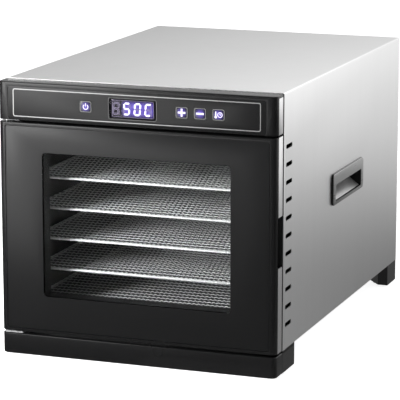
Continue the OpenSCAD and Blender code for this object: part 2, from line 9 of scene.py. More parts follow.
import bmesh
import bpy
from bpy.props import FloatProperty, FloatVectorProperty, IntProperty, PointerProperty
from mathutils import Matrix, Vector


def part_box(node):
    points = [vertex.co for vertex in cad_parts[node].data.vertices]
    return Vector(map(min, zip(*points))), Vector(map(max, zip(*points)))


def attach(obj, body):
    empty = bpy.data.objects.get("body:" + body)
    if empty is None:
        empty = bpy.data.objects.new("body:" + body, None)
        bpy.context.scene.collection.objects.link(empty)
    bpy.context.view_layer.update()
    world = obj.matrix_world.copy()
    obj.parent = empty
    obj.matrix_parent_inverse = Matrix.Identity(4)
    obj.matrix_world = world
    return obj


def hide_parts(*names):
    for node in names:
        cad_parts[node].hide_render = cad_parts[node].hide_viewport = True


bl_info = {
    "name": "Food dehydrator",
    "version": (1, 0, 0),
    "blender": (4, 5, 0),
    "location": "3D View > Sidebar > Dehydrator",
    "description": "Builds a cabinet food dehydrator round its CAD frame",
    "category": "Add Mesh",
}

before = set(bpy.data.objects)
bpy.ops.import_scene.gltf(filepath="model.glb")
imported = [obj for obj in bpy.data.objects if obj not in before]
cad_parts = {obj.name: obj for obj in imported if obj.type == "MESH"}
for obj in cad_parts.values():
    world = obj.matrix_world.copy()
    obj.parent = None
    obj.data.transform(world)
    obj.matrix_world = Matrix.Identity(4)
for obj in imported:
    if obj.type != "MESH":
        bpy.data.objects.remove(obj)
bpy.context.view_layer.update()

# A cutter runs one MM past the faces that it opens
MM = 0.001
SIDES = (-1, 1)

WRAP_LO, WRAP_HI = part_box("outer_wrap")
FASCIA_LO, FASCIA_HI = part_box("fascia_shell")
DOOR_LO, DOOR_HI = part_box("door_shell")
PLINTH_LO, PLINTH_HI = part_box("plinth")
OVERLAY_LO, OVERLAY_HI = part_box("control_overlay")
LENS_LO, LENS_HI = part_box("display_lens")
GLASS_LO, GLASS_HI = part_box("door_glass")
MASK_LO, MASK_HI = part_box("window_mask")
LINER_LO, LINER_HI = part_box("door_liner")
STRIP_LO, STRIP_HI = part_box("door_edge_strip_left")
FRAME_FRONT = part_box("front_frame")[0].y
BUSH_LO, BUSH_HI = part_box("hinge_bushes")
BOARD_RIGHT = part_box("control_board")[1].x
HALF_W = WRAP_HI.x
STRIP_T = STRIP_HI.x - STRIP_LO.x
KEY_FLANGE = 1.0 * MM
LENS_GAP = 0.2 * MM
MARK_LIFT = 0.08 * MM
LINE_LIFT = 0.06 * MM
KEY_NODES = ("power_key", "plus_key", "minus_key", "mode_key")
TRAY_NODES = tuple(f"tray_{k}" for k in range(1, 7))


# ---------- Settings ----------


def length(name, default, description):
    """A length in metres."""
    return FloatProperty(
        name=name, default=default, description=description, unit="LENGTH", precision=5
    )


def colour(name, default, description):
    """A linear colour."""
    return FloatVectorProperty(
        name=name, default=default, description=description, subtype="COLOR", size=3, min=0, max=1
    )


class CabinetSettings(bpy.types.PropertyGroup):
    """Sizes of the steel wrap and the black mouldings."""

    sheet: length("Sheet", 1.0 * MM, "Thickness of the steel")
    bend: length("Bend radius", 1.8 * MM, "Outer radius of the folds between top and sides")
    corner: length("Front corner", 7.0 * MM, "Radius of the upright corners of the mouldings")
    edge: length("Edge rounding", 0.9 * MM, "Rounding of the mouldings' other edges")
    slot_count: IntProperty(name="Slots", default=11, min=1, description="Outlet slots in a column")
    slot_first_z: length("First slot", 56.5 * MM, "Height of the lowest slot")
    slot_pitch: length("Slot pitch", 20.7 * MM, "Distance from one slot to the next")
    slot_length: length("Slot length", 22.0 * MM, "Length of a slot along the side")
    slot_height: length("Slot height", 5.0 * MM, "Height of a slot")
    slot_round: length("Slot rounding", 2.2 * MM, "Radius of a slot's corners")
    slot_setback: length("Slot setback", 45.0 * MM, "From the front of the door to a slot's middle")
    back_flange: length("Back flange", 20.0 * MM, "Width of the flange turned in at the back")
    hollow_wall: length("Fascia wall", 3.5 * MM, "Thickness of the fascia's front wall")
    lid: length("Fascia lid", 3.0 * MM, "Thickness of the fascia's top")
    plinth_height: length("Plinth beam height", 24.5 * MM, "Height of the plinth across the front")
    plinth_wall: length("Plinth wall", 3.0 * MM, "Thickness of the plinth's walls")
    foot_width: length("Foot width", 30.0 * MM, "Width of the plinth's side returns")
    key_gap: length("Key gap", 0.3 * MM, "Gap round a key")


class DoorSettings(bpy.types.PropertyGroup):
    """Sizes of the door."""

    window_width: length("Window width", 231.0 * MM, "Width of the clear part of the glass")
    window_height: length("Window height", 171.0 * MM, "Height of the clear part of the glass")
    window_z: length("Window middle", 159.0 * MM, "Height of the window's middle")
    notch_length: length("Notch length", 59.0 * MM, "Length of the finger notch")
    notch_z: length("Notch middle", 157.5 * MM, "Height of the finger notch's middle")
    notch_depth: length("Notch depth", 11.0 * MM, "How far the notch reaches in from the free edge")
    notch_front: length("Notch front", 5.5 * MM, "From the front of the door to the notch")


class HandleSettings(bpy.types.PropertyGroup):
    """Sizes of the recessed handles."""

    scoop_length: length("Scoop length", 109.0 * MM, "Length of the opening")
    scoop_height: length("Scoop height", 20.5 * MM, "Height of the opening")
    scoop_rise: length("Scoop rise", 12.0 * MM, "How far the scoop's floor climbs towards the inside")
    scoop_drop: length("Scoop drop", 15.0 * MM, "From the flange's middle down to the opening's lower edge")
    sheet_gap: length("Sheet gap", 0.4 * MM, "Gap between the scoop and the hole in the steel")
    scoop_room: length("Scoop room", 8.0 * MM, "Room for fingertips above the opening")
    wall: length("Scoop wall", 1.5 * MM, "Thickness of the scoop's wall")
    proud: length("Flange height", 3.0 * MM, "How far the flange stands out from the side")
    face: length("Bezel thickness", 0.9 * MM, "Thickness of the bezel's grey face")
    scoop_depth: length("Scoop depth", 16.0 * MM, "How far the scoop reaches in")


class TraySettings(bpy.types.PropertyGroup):
    """Sizes of the woven trays."""

    pitch_x: length("Pitch across", 2.9 * MM, "Distance between the wires that run front to back")
    pitch_y: length("Pitch along", 12.5 * MM, "Distance between the wires that run across")
    wire: length("Wire radius", 0.52 * MM, "Radius of the wires that run across")
    thin_wire: length("Thin wire radius", 0.27 * MM, "Radius of the wires that run front to back")
    crimp: length("Crimp", 0.55 * MM, "How far a wire bends over and under its neighbours")
    rim: length("Rim radius", 2.0 * MM, "Radius of the rim rod")
    corner: length("Rim corner", 12.0 * MM, "Radius of the rim's corners")
    wrap_pitch: length("Wrap pitch", 14.0 * MM, "Distance between the wire ends bent round the rim")


class ReadingSettings(bpy.types.PropertyGroup):
    """Sizes of the lit reading and the key signs."""

    digit_width: length("Digit width", 6.6 * MM, "Width of a digit between its strokes' middles")
    digit_height: length("Digit height", 12.6 * MM, "Height of a digit between its strokes' middles")
    digit_pitch: length("Digit pitch", 13.1 * MM, "Distance from one digit to the next")
    first_digit: length("First digit", -23.3 * MM, "Middle of the leftmost digit")
    stroke: length("Stroke", 2.1 * MM, "Width of a lit stroke")
    ghost: length("Ghost stroke", 0.6 * MM, "Width of an unlit stroke's outline")
    slant: FloatProperty(name="Slant", default=0.07, description="Lean of the digits to the right")
    line: length("Printed line", 0.7 * MM, "Width of the line round the display")


class ColourSettings(bpy.types.PropertyGroup):
    """Colours of the finishes."""

    steel: colour("Steel", (0.80, 0.80, 0.80), "Brushed steel")
    chamber: colour("Chamber", (0.05, 0.05, 0.052), "Steel of the drying chamber")
    zinc: colour("Zinc", (0.52, 0.54, 0.56), "Zinc-coated sheet")
    black: colour("Black", (0.003, 0.003, 0.0031), "Black mouldings")
    rubber: colour("Rubber", (0.01, 0.01, 0.01), "Seals and foot pads")
    handle: colour("Handle", (0.3, 0.3, 0.3), "Handle bezels")
    scoop: colour("Scoop", (0.5, 0.5, 0.5), "Insides of the handles")
    wire: colour("Wire", (0.88, 0.88, 0.88), "Tray wire")
    silver: colour("Silver", (0.42, 0.42, 0.42), "Silver line on the panel")
    violet: colour("Violet", (0.13, 0.085, 0.5), "Light of the display")


SETTINGS = (
    CabinetSettings, DoorSettings, HandleSettings, TraySettings, ReadingSettings, ColourSettings
)


def settings(group):
    """The scene's settings of one group, such as "cabinet"."""
    return getattr(bpy.context.scene, f"dehydrator_{group}")


# ---------- Shapes ----------


def rounded_rect(width, height, radius, middle=(0.0, 0.0), steps=6):
    """Points of a rectangle with round corners, anticlockwise."""
    points = []
    for sx, sy, start in ((1, 1, 0), (-1, 1, 90), (-1, -1, 180), (1, -1, 270)):
        cx = middle[0] + sx * (width / 2 - radius)
        cy = middle[1] + sy * (height / 2 - radius)
        for i in range(steps + 1):
            angle = math.radians(start + 90 * i / steps)
            points.append((cx + radius * math.cos(angle), cy + radius * math.sin(angle)))
    return points


def rectangle(x0, y0, x1, y1):
    """Corners of a rectangle, anticlockwise."""
    return [(x0, y0), (x1, y0), (x1, y1), (x0, y1)]


def circle(radius, middle=(0.0, 0.0), steps=24):
    """Points of a circle, anticlockwise."""
    turns = [math.tau * i / steps for i in range(steps)]
    return [(middle[0] + radius * math.cos(a), middle[1] + radius * math.sin(a)) for a in turns]


def place(point, axis, level):
    """A flat point stood at a level along an axis. The plane of Y is XZ, and of X is YZ."""
    u, v = point
    return {"X": (level, u, v), "Y": (u, level, v), "Z": (u, v, level)}[axis]


def prism(outline, axis, lo, hi, round_lo=0.0, round_hi=0.0):
    """A closed solid over an outline, with its end edges rounded where asked."""
    bm = bmesh.new()
    ends = [[bm.verts.new(place(p, axis, level)) for p in outline] for level in (lo, hi)]
    caps = [bm.faces.new(ends[0]), bm.faces.new(ends[1])]
    count = len(outline)
    for i in range(count):
        j = (i + 1) % count
        bm.faces.new((ends[0][i], ends[0][j], ends[1][j], ends[1][i]))
    bmesh.ops.recalc_face_normals(bm, faces=bm.faces)
    for cap, width in zip(caps, (round_lo, round_hi)):
        if width:
            bmesh.ops.bevel(
                bm, geom=list(cap.edges), offset=width, segments=3, profile=0.5, affect="EDGES"
            )
    return bm


def band(outer, inner, axis, lo, hi):
    """A closed ring between two outlines with the same number of points."""
    bm = bmesh.new()
    rows = [
        [bm.verts.new(place(p, axis, level)) for p in outline]
        for outline, level in ((outer, lo), (outer, hi), (inner, hi), (inner, lo))
    ]
    count = len(outer)
    for k in range(4):
        near, far = rows[k], rows[(k + 1) % 4]
        for i in range(count):
            j = (i + 1) % count
            bm.faces.new((near[i], near[j], far[j], far[i]))
    bmesh.ops.recalc_face_normals(bm, faces=bm.faces)
    return bm


def plate(width, height, radius, middle, front, back, soft=0.0):
    """A plate with round corners that faces the front, with its front edge rounded where asked."""
    return prism(rounded_rect(width, height, radius, middle), "Y", front, back, soft)


def outline_ring(width, height, radii, middle, line, front, back):
    """A line round a rectangle that faces the front. The radii are its outer and inner corners."""
    return band(
        rounded_rect(width, height, radii[0], middle),
        rounded_rect(width - 2 * line, height - 2 * line, radii[1], middle),
        "Y", front, back,
    )


def span(side, near, far):
    """Two distances from the middle on one side, the lower coordinate first."""
    return sorted((side * near, side * far))


def pour(solid, whole):
    """Adds a solid to another bmesh, and frees it."""
    mesh = bpy.data.meshes.new("part")
    solid.to_mesh(mesh)
    solid.free()
    whole.from_mesh(mesh)
    bpy.data.meshes.remove(mesh)


def joined(*solids):
    """Several solids in one bmesh."""
    whole = bmesh.new()
    for solid in solids:
        pour(solid, whole)
    return whole


def linked(name, data):
    """A new object in the scene."""
    made = bpy.data.objects.new(name, data)
    bpy.context.scene.collection.objects.link(made)
    return made


def discard(work):
    """Removes a working object and its mesh."""
    mesh = work.data
    bpy.data.objects.remove(work)
    bpy.data.meshes.remove(mesh)


def loose_object(bm):
    """A working object that holds the bmesh, which is freed."""
    mesh = bpy.data.meshes.new("work")
    bm.to_mesh(mesh)
    bm.free()
    return linked("work", mesh)


def evaluated_mesh(work):
    """The object's mesh with its modifiers carried out. The object is removed."""
    bpy.context.view_layer.update()
    depsgraph = bpy.context.evaluated_depsgraph_get()
    mesh = bpy.data.meshes.new_from_object(work.evaluated_get(depsgraph), depsgraph=depsgraph)
    discard(work)
    return mesh


def carved(solid, *cutters):
    """The solid with each cutter in turn taken out of it."""
    body = loose_object(solid)
    tools = [loose_object(cutter) for cutter in cutters]
    for tool in tools:
        cut = body.modifiers.new("cut", "BOOLEAN")
        cut.object = tool
        cut.operation = "DIFFERENCE"
        cut.solver = "EXACT"
    mesh = evaluated_mesh(body)
    for tool in tools:
        discard(tool)
    if not mesh.polygons:
        raise RuntimeError("a cut left nothing of its solid")
    result = bmesh.new()
    result.from_mesh(mesh)
    bpy.data.meshes.remove(mesh)
    return result


def tube(path, radius, sides=8, closed=False):
    """A round rod along a path of points."""
    bm = bmesh.new()
    count = len(path)
    rings = []
    for i, point in enumerate(path):
        before = path[i - 1] if closed or i else path[i]
        after = path[(i + 1) % count] if closed or i < count - 1 else path[i]
        along = (Vector(after) - Vector(before)).normalized()
        if rings:
            side = (side - along * side.dot(along)).normalized()
        else:
            side = along.orthogonal().normalized()
        up = along.cross(side)
        rings.append([
            bm.verts.new(Vector(point) + radius * (side * math.cos(a) + up * math.sin(a)))
            for a in (math.tau * k / sides for k in range(sides))
        ])
    for i in range(count if closed else count - 1):
        near, far = rings[i], rings[(i + 1) % count]
        for k in range(sides):
            m = (k + 1) % sides
            bm.faces.new((near[k], near[m], far[m], far[k]))
    if not closed:
        bm.faces.new(rings[0])
        bm.faces.new(rings[-1])
    bmesh.ops.recalc_face_normals(bm, faces=bm.faces)
    return bm


def piece(name, solids, body, nodes=(), smooth=35.0):
    """A finished piece: solids is a list of (bmesh, material), each with its own finish."""
    mesh = bpy.data.meshes.new(name)
    whole = bmesh.new()
    for index, (solid, material) in enumerate(solids):
        start = len(whole.faces)
        pour(solid, whole)
        whole.faces.ensure_lookup_table()
        for face in whole.faces[start:]:
            face.material_index = index
        mesh.materials.append(material)
    whole.to_mesh(mesh)
    whole.free()
    mesh.shade_smooth()
    mesh.set_sharp_from_angle(angle=math.radians(smooth))
    made = linked(name, mesh)
    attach(made, body)
    if nodes:
        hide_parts(*nodes)
    return made


# ---------- Finishes ----------


class Nodes:
    """Adds nodes to a tree and links them by socket name."""

    def __init__(self, tree):
        self.tree = tree

    def add(self, kind, values=(), **attributes):
        """Adds a node, with its attributes and then its inputs set."""
        node = self.tree.nodes.new(kind)
        for key, value in attributes.items():
            setattr(node, key, value)
        for socket, value in dict(values).items():
            self.feed(node, socket, value)
        return node

    def feed(self, node, socket, value):
        """Sets an input, or links it if the value is another node's output."""
        if isinstance(value, bpy.types.NodeSocket):
            self.tree.links.new(value, node.inputs[socket])
        else:
            node.inputs[socket].default_value = value

    def math(self, operation, *values):
        """The result of one operation on values or outputs."""
        return self.add("ShaderNodeMath", dict(enumerate(values)), operation=operation).outputs[0]

    def ramp(self, value, low, high, out_low=0.0, out_high=1.0):
        """A value spread from one range to another, held at both ends."""
        node = self.add(
            "ShaderNodeMapRange",
            {"Value": value, "From Min": low, "From Max": high, "To Min": out_low, "To Max": out_high},
            interpolation_type="SMOOTHSTEP",
        )
        return node.outputs["Result"]

    def noise(self, vector, scale, detail=3.0, roughness=0.5):
        """Smooth random values between 0 and 1."""
        node = self.add(
            "ShaderNodeTexNoise",
            {"Vector": vector, "Scale": scale, "Detail": detail, "Roughness": roughness},
        )
        return node.outputs["Fac"]

    def mix(self, factor, first, second):
        """A blend of two colours."""
        node = self.add("ShaderNodeMix", {"Factor": factor}, data_type="RGBA")
        self.feed(node, 6, first)
        self.feed(node, 7, second)
        return node.outputs[2]


def group(name, inputs, outputs):
    """A new shader group with float or vector inputs and float outputs, ready to be filled."""
    tree = bpy.data.node_groups.new(name, "ShaderNodeTree")
    for socket, default in inputs.items():
        kind = "NodeSocketVector" if isinstance(default, tuple) else "NodeSocketFloat"
        made = tree.interface.new_socket(socket, in_out="INPUT", socket_type=kind)
        made.default_value = default
    for socket in outputs:
        tree.interface.new_socket(socket, in_out="OUTPUT", socket_type="NodeSocketFloat")
    nodes = Nodes(tree)
    return nodes, nodes.add("NodeGroupInput").outputs


def brushed_group():
    """Fine streaks along one direction, with slow cloudy variation between them."""
    nodes, given = group(
        "Brushed metal",
        {"Position": (0.0, 0.0, 0.0), "Stretch": (1.0, 1.0, 1.0), "Roughness": 0.3, "Contrast": 0.1},
        ("Tone", "Roughness", "Height"),
    )
    stretched = nodes.add(
        "ShaderNodeVectorMath", {0: given["Position"], 1: given["Stretch"]}, operation="MULTIPLY"
    ).outputs[0]
    fine = nodes.noise(stretched, 900.0, 4.0, 0.7)
    broad = nodes.noise(stretched, 90.0, 2.0)
    cloud = nodes.noise(given["Position"], 9.0, 2.0)
    streaks = nodes.math("ADD", nodes.math("MULTIPLY", fine, 0.6), nodes.math("MULTIPLY", broad, 0.4))
    swing = nodes.math("MULTIPLY", nodes.math("SUBTRACT", streaks, 0.5), given["Contrast"])
    cloudy = nodes.math("MULTIPLY", nodes.math("SUBTRACT", cloud, 0.5), given["Contrast"])
    tone = nodes.math("ADD", nodes.math("ADD", swing, nodes.math("MULTIPLY", cloudy, 0.4)), 1.0)
    rough = nodes.math("ADD", given["Roughness"], nodes.math("MULTIPLY", swing, 0.5))
    nodes.add("NodeGroupOutput", {"Tone": tone, "Roughness": rough, "Height": streaks})
    return nodes.tree


def grain_group():
    """The fine grain and slow wear of a moulded or coated surface."""
    nodes, given = group(
        "Moulded grain",
        {"Position": (0.0, 0.0, 0.0), "Scale": 700.0, "Roughness": 0.3, "Wear": 0.1},
        ("Tone", "Roughness", "Height"),
    )
    grain = nodes.noise(given["Position"], given["Scale"], 2.0)
    cloud = nodes.noise(given["Position"], 14.0, 3.0)
    swing = nodes.math("MULTIPLY", nodes.math("SUBTRACT", cloud, 0.5), given["Wear"])
    tone = nodes.math("ADD", 1.0, swing)
    rough = nodes.math("ADD", given["Roughness"], swing)
    nodes.add("NodeGroupOutput", {"Tone": tone, "Roughness": rough, "Height": grain})
    return nodes.tree


def painted_reflection_group():
    """A painted reflection: a tone that changes evenly from the front of the cabinet to its back."""
    nodes, given = group(
        "Painted reflection along the side",
        {"Position": (0.0, 0.0, 0.0), "Tone": 1.0, "Front": 1.0, "Back": 1.0},
        ("Tone",),
    )
    along = nodes.add("ShaderNodeSeparateXYZ", {0: given["Position"]}).outputs["Y"]
    reach = nodes.add(
        "ShaderNodeMapRange",
        {
            "Value": along, "From Min": WRAP_LO.y, "From Max": WRAP_HI.y,
            "To Min": given["Front"], "To Max": given["Back"],
        },
    ).outputs["Result"]
    nodes.add("NodeGroupOutput", {"Tone": nodes.math("MULTIPLY", given["Tone"], reach)})
    return nodes.tree


def shared_group(maker, name):
    """The shader group of that name, made when it is first asked for."""
    return bpy.data.node_groups.get(name) or maker()


def begun(name):
    """A new material without nodes, and what adds nodes to it, and the Object coordinates."""
    material = bpy.data.materials.new(name)
    material.use_nodes = True
    material.node_tree.nodes.clear()
    nodes = Nodes(material.node_tree)
    return material, nodes, nodes.add("ShaderNodeTexCoord").outputs["Object"]


def ended(material, nodes, shader):
    """The material with its surface linked to the shader."""
    nodes.add("ShaderNodeOutputMaterial", {"Surface": shader.outputs[0]})
    return material


def finish_material(name, base, effect, effect_values, bump=0.02, falloff=None, **surface):
    """A surface whose tone, roughness and bump come from a shared effect group."""
    material, nodes, position = begun(name)
    shading = nodes.add(
        "ShaderNodeGroup", {"Position": position, **effect_values}, node_tree=effect
    ).outputs
    tone = shading["Tone"]
    # Where a falloff is given, the tone is scaled evenly from front to back: a painted reflection.
    if falloff:
        tone = nodes.add(
            "ShaderNodeGroup",
            {"Position": position, "Tone": tone, "Front": falloff[0], "Back": falloff[1]},
            node_tree=shared_group(painted_reflection_group, "Painted reflection along the side"),
        ).outputs["Tone"]
    tinted = nodes.add(
        "ShaderNodeVectorMath", {0: base, "Scale": tone}, operation="SCALE"
    ).outputs[0]
    bumped = nodes.add(
        "ShaderNodeBump", {"Height": shading["Height"], "Strength": bump, "Distance": 0.1 * MM}
    ).outputs["Normal"]
    shader = nodes.add(
        "ShaderNodeBsdfPrincipled",
        {"Base Color": tinted, "Roughness": shading["Roughness"], "Normal": bumped},
    )
    for socket, value in surface.items():
        shader.inputs[socket.replace("_", " ")].default_value = value
    return ended(material, nodes, shader)


def metal(name, base, stretch, roughness, contrast=0.12, bump=0.05, falloff=None):
    """Metal with streaks; the stretch is small along the streaks. A falloff paints a reflection that changes
    from front to back.
    """
    effect = shared_group(brushed_group, "Brushed metal")
    values = {"Stretch": stretch, "Roughness": roughness, "Contrast": contrast}
    return finish_material(name, tuple(base), effect, values, bump, falloff, Metallic=1.0)


def moulded(name, base, roughness, wear=0.1, scale=700.0, bump=0.02, **surface):
    """Plastic, rubber or paint with a fine grain."""
    effect = shared_group(grain_group, "Moulded grain")
    values = {"Scale": scale, "Roughness": roughness, "Wear": wear}
    return finish_material(name, tuple(base), effect, values, bump, **surface)


def clear_glass(name, tint):
    """Glass that lets light through to what is behind it."""
    material, nodes, position = begun(name)
    smears = nodes.noise(position, 12.0, 3.0)
    shader = nodes.add(
        "ShaderNodeBsdfPrincipled",
        {
            "Base Color": (*tint, 1.0), "Transmission Weight": 1.0, "IOR": 1.09,
            "Roughness": nodes.ramp(smears, 0.3, 0.8, 0.0, 0.012),
        },
    )
    path = nodes.add("ShaderNodeLightPath").outputs
    passing = nodes.math("MAXIMUM", path["Is Shadow Ray"], path["Is Diffuse Ray"])
    open_way = nodes.add("ShaderNodeBsdfTransparent", {"Color": (*tint, 1.0)})
    blend = nodes.add("ShaderNodeMixShader", {0: passing, 1: shader.outputs[0], 2: open_way.outputs[0]})
    return ended(material, nodes, blend)


def light_giver(nodes, base, roughness, light, strength):
    """The shader of a dark surface that gives off light."""
    return nodes.add(
        "ShaderNodeBsdfPrincipled",
        {
            "Base Color": (*base, 1.0), "Roughness": roughness,
            "Emission Color": (*light, 1.0), "Emission Strength": strength,
        },
    )


def lit(name, light, strength):
    """A lit mark, a little uneven from place to place."""
    material, nodes, position = begun(name)
    uneven = nodes.ramp(nodes.noise(position, 400.0, 2.0), 0.3, 0.7, 0.85 * strength, 1.1 * strength)
    return ended(material, nodes, light_giver(nodes, (0.02, 0.02, 0.03), 0.3, light, uneven))


def glow(name, light, middle, half_size, falloff, strength):
    """A face lit from behind: brightest in a rectangle, and dying away round it."""
    material, nodes, position = begun(name)
    parts = nodes.add("ShaderNodeSeparateXYZ", {0: position}).outputs
    beyond = []
    for axis, centre, half in (("X", middle[0], half_size[0]), ("Z", middle[1], half_size[1])):
        away = nodes.math("ABSOLUTE", nodes.math("SUBTRACT", parts[axis], centre))
        beyond.append(nodes.math("MAXIMUM", nodes.math("SUBTRACT", away, half), 0.0))
    squares = [nodes.math("MULTIPLY", value, value) for value in beyond]
    distance = nodes.math("SQRT", nodes.math("ADD", *squares))
    shine = nodes.ramp(distance, 0.0, falloff, strength, 0.0)
    uneven = nodes.ramp(nodes.noise(position, 500.0, 3.0), 0.3, 0.7, 0.75, 1.15)
    strength = nodes.math("MULTIPLY", shine, uneven)
    return ended(material, nodes, light_giver(nodes, (0.006, 0.006, 0.008), 0.18, light, strength))


FINISHES = {}


def finishes():
    """Every finish by name, made when they are first asked for."""
    if FINISHES:
        return FINISHES
    tint = settings("colours")
    across_y, across_x, along_z = (1.0, 0.02, 1.0), (0.02, 1.0, 1.0), (1.0, 1.0, 0.015)
    gloss = {"Specular_IOR_Level": 0.3, "Coat_Weight": 0.1, "Coat_Roughness": 0.12}
    panel_gloss = {"Specular_IOR_Level": 0.34, "Coat_Weight": 0.12, "Coat_Roughness": 0.2}
    glow_middle, glow_half, glow_fade = (4.0 * MM, 301.6 * MM), (15.0 * MM, 4.0 * MM), 7.0 * MM
    FINISHES.update(
        # The steel's tone runs from 1.14 at the front to 0.86 at the back: a painted reflection.
        steel=metal("brushed_steel", tint.steel, along_z, 0.34, 0.10, 0.05, (1.14, 0.86)),
        strip=metal("satin_steel", tint.steel, along_z, 0.36, 0.14),
        chamber=metal("chamber_steel", tint.chamber, across_y, 0.38),
        zinc=metal("zinc_sheet", tint.zinc, across_x, 0.42, 0.3),
        bright=metal("bright_zinc", (0.75, 0.75, 0.76), across_x, 0.22),
        # The tray wire has a bright copy for the wires across and a darkened copy for the thin wires along:
        # painted shade between the bright wires.
        wire=moulded("tray_wire", tint.wire, 0.34, 0.15, 900.0, 0.05, Metallic=0.35),
        thin_wire=metal("thin_tray_wire_painted_shade", (0.3, 0.3, 0.3), across_x, 0.35, 0.3),
        rim=moulded("tray_rim", (0.62, 0.62, 0.62), 0.3, 0.2, 900.0, 0.05, Metallic=0.35),
        aluminium=metal("fan_aluminium", (0.72, 0.72, 0.73), across_x, 0.35),
        oxide=metal("heater_sheath", (0.11, 0.085, 0.07), across_x, 0.5, 0.4),
        iron=metal("magnet_iron", (0.08, 0.08, 0.08), across_x, 0.6, 0.4),
        black=moulded("black_moulding", tint.black, 0.26, 0.08, **gloss),
        panel=moulded("black_panel", tint.black, 0.3, 0.06, **panel_gloss),
        satin=moulded("black_satin", tint.black, 0.42, 0.12, 450.0, 0.08),
        paint=moulded("black_paint", (0.008, 0.008, 0.008), 0.5, 0.15, 500.0, 0.1),
        rubber=moulded("rubber", tint.rubber, 0.62, 0.2, 300.0, 0.2),
        bezel=metal("handle_bezel", tint.handle, across_y, 0.3, 0.5, 0.1),
        scoop=moulded("handle_scoop", tint.scoop, 0.3, 0.12, 800.0, 0.04, Metallic=0.6),
        silver=metal("silver_print", tint.silver, across_x, 0.3, 0.1),
        key_line=moulded("key_line", (0.045, 0.045, 0.045), 0.4, 0.1),
        ghost=moulded("unlit_stroke", (0.2, 0.19, 0.22), 0.5, 0.3),
        board=moulded("circuit_board", (0.02, 0.12, 0.045), 0.35, 0.2),
        motor=moulded("motor_paint", (0.12, 0.12, 0.125), 0.4, 0.2, 400.0, 0.08),
        nylon=moulded("nylon", (0.62, 0.6, 0.55), 0.45, 0.1),
        ribbon=moulded("ribbon_grey", (0.4, 0.4, 0.4), 0.5, 0.2),
        lead=moulded("lead_brown", (0.16, 0.055, 0.02), 0.45, 0.2),
        foot=moulded("foot_moulding", tint.black, 0.3, 0.12, 500.0, 0.06, Specular_IOR_Level=0.6),
        glass=clear_glass("door_glass", (0.78, 0.79, 0.79)),
        lens=clear_glass("smoked_lens", (0.7, 0.68, 0.74)),
        display=glow("display_face", tint.violet, glow_middle, glow_half, glow_fade, 1.4),
        digit=lit("lit_stroke", (0.93, 0.9, 1.0), 2.6),
        sign=lit("key_sign", (0.86, 0.8, 1.0), 1.5),
    )
    return FINISHES


# ---------- Steel and mouldings ----------


def front_plan(back):
    """The plan of a front moulding, from its round front corners to its back."""
    radius = settings("cabinet").corner
    front = DOOR_LO.y
    plan = [(HALF_W, back), (-HALF_W, back)]
    for side, start in ((-1, 180), (1, 270)):
        for i in range(9):
            angle = math.radians(start + 90 * i / 8)
            x = side * (HALF_W - radius) + radius * math.cos(angle)
            plan.append((x, front + radius + radius * math.sin(angle)))
    return plan


def front_moulding(z0, z1, back):
    """A front moulding with its front edges rounded and its back edges square."""
    bm = prism(front_plan(back), "Z", z0, z1)
    front_edges = [
        edge for edge in bm.edges
        if edge.verts[0].co.z == edge.verts[1].co.z and min(v.co.y for v in edge.verts) < back - MM
    ]
    bmesh.ops.bevel(
        bm, geom=front_edges, offset=settings("cabinet").edge, segments=3, profile=0.5, affect="EDGES"
    )
    return bm


def box_solid(lo, hi, rounding=0.0):
    """A box between two corners, with all its edges rounded where asked."""
    bm = prism(rectangle(lo[0], lo[1], hi[0], hi[1]), "Z", lo[2], hi[2])
    if rounding:
        bmesh.ops.bevel(
            bm, geom=list(bm.edges), offset=rounding, segments=2, profile=0.5, affect="EDGES"
        )
    return bm


def strip_seats(z0, z1):
    """The seats of the steel strips in the sides of a moulding."""
    seats = []
    for side in SIDES:
        x0, x1 = span(side, HALF_W - STRIP_T, HALF_W + MM)
        seats.append(box_solid((x0, STRIP_LO.y, z0), (x1, STRIP_HI.y + MM, z1)))
    return seats


def flat_box(lo, hi):
    """Width, height and middle of a node's front face."""
    return hi.x - lo.x, hi.z - lo.z, ((lo.x + hi.x) / 2, (lo.z + hi.z) / 2)


def key_boxes():
    """The front faces of the keys, as (width, height, middle)."""
    boxes = []
    for node in KEY_NODES:
        width, height, middle = flat_box(*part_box(node))
        boxes.append((width - 2 * KEY_FLANGE, height - 2 * KEY_FLANGE, middle))
    return boxes


def panel_holes(front, back):
    """Solids that fill the openings of the keys and of the display's window."""
    grow = 2 * settings("cabinet").key_gap
    holes = [
        plate(width + grow, height + grow, 2.8 * MM, middle, front, back)
        for width, height, middle in key_boxes()
    ]
    width, height, middle = flat_box(LENS_LO, LENS_HI)
    holes.append(plate(width + LENS_GAP, height + LENS_GAP, 3.5 * MM, middle, front, back))
    return joined(*holes)


def handle_middle():
    """Middle of the handles' flange, along Y and Z."""
    lo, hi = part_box("handle_cup_right")
    return (lo.y + hi.y) / 2, (lo.z + hi.z) / 2


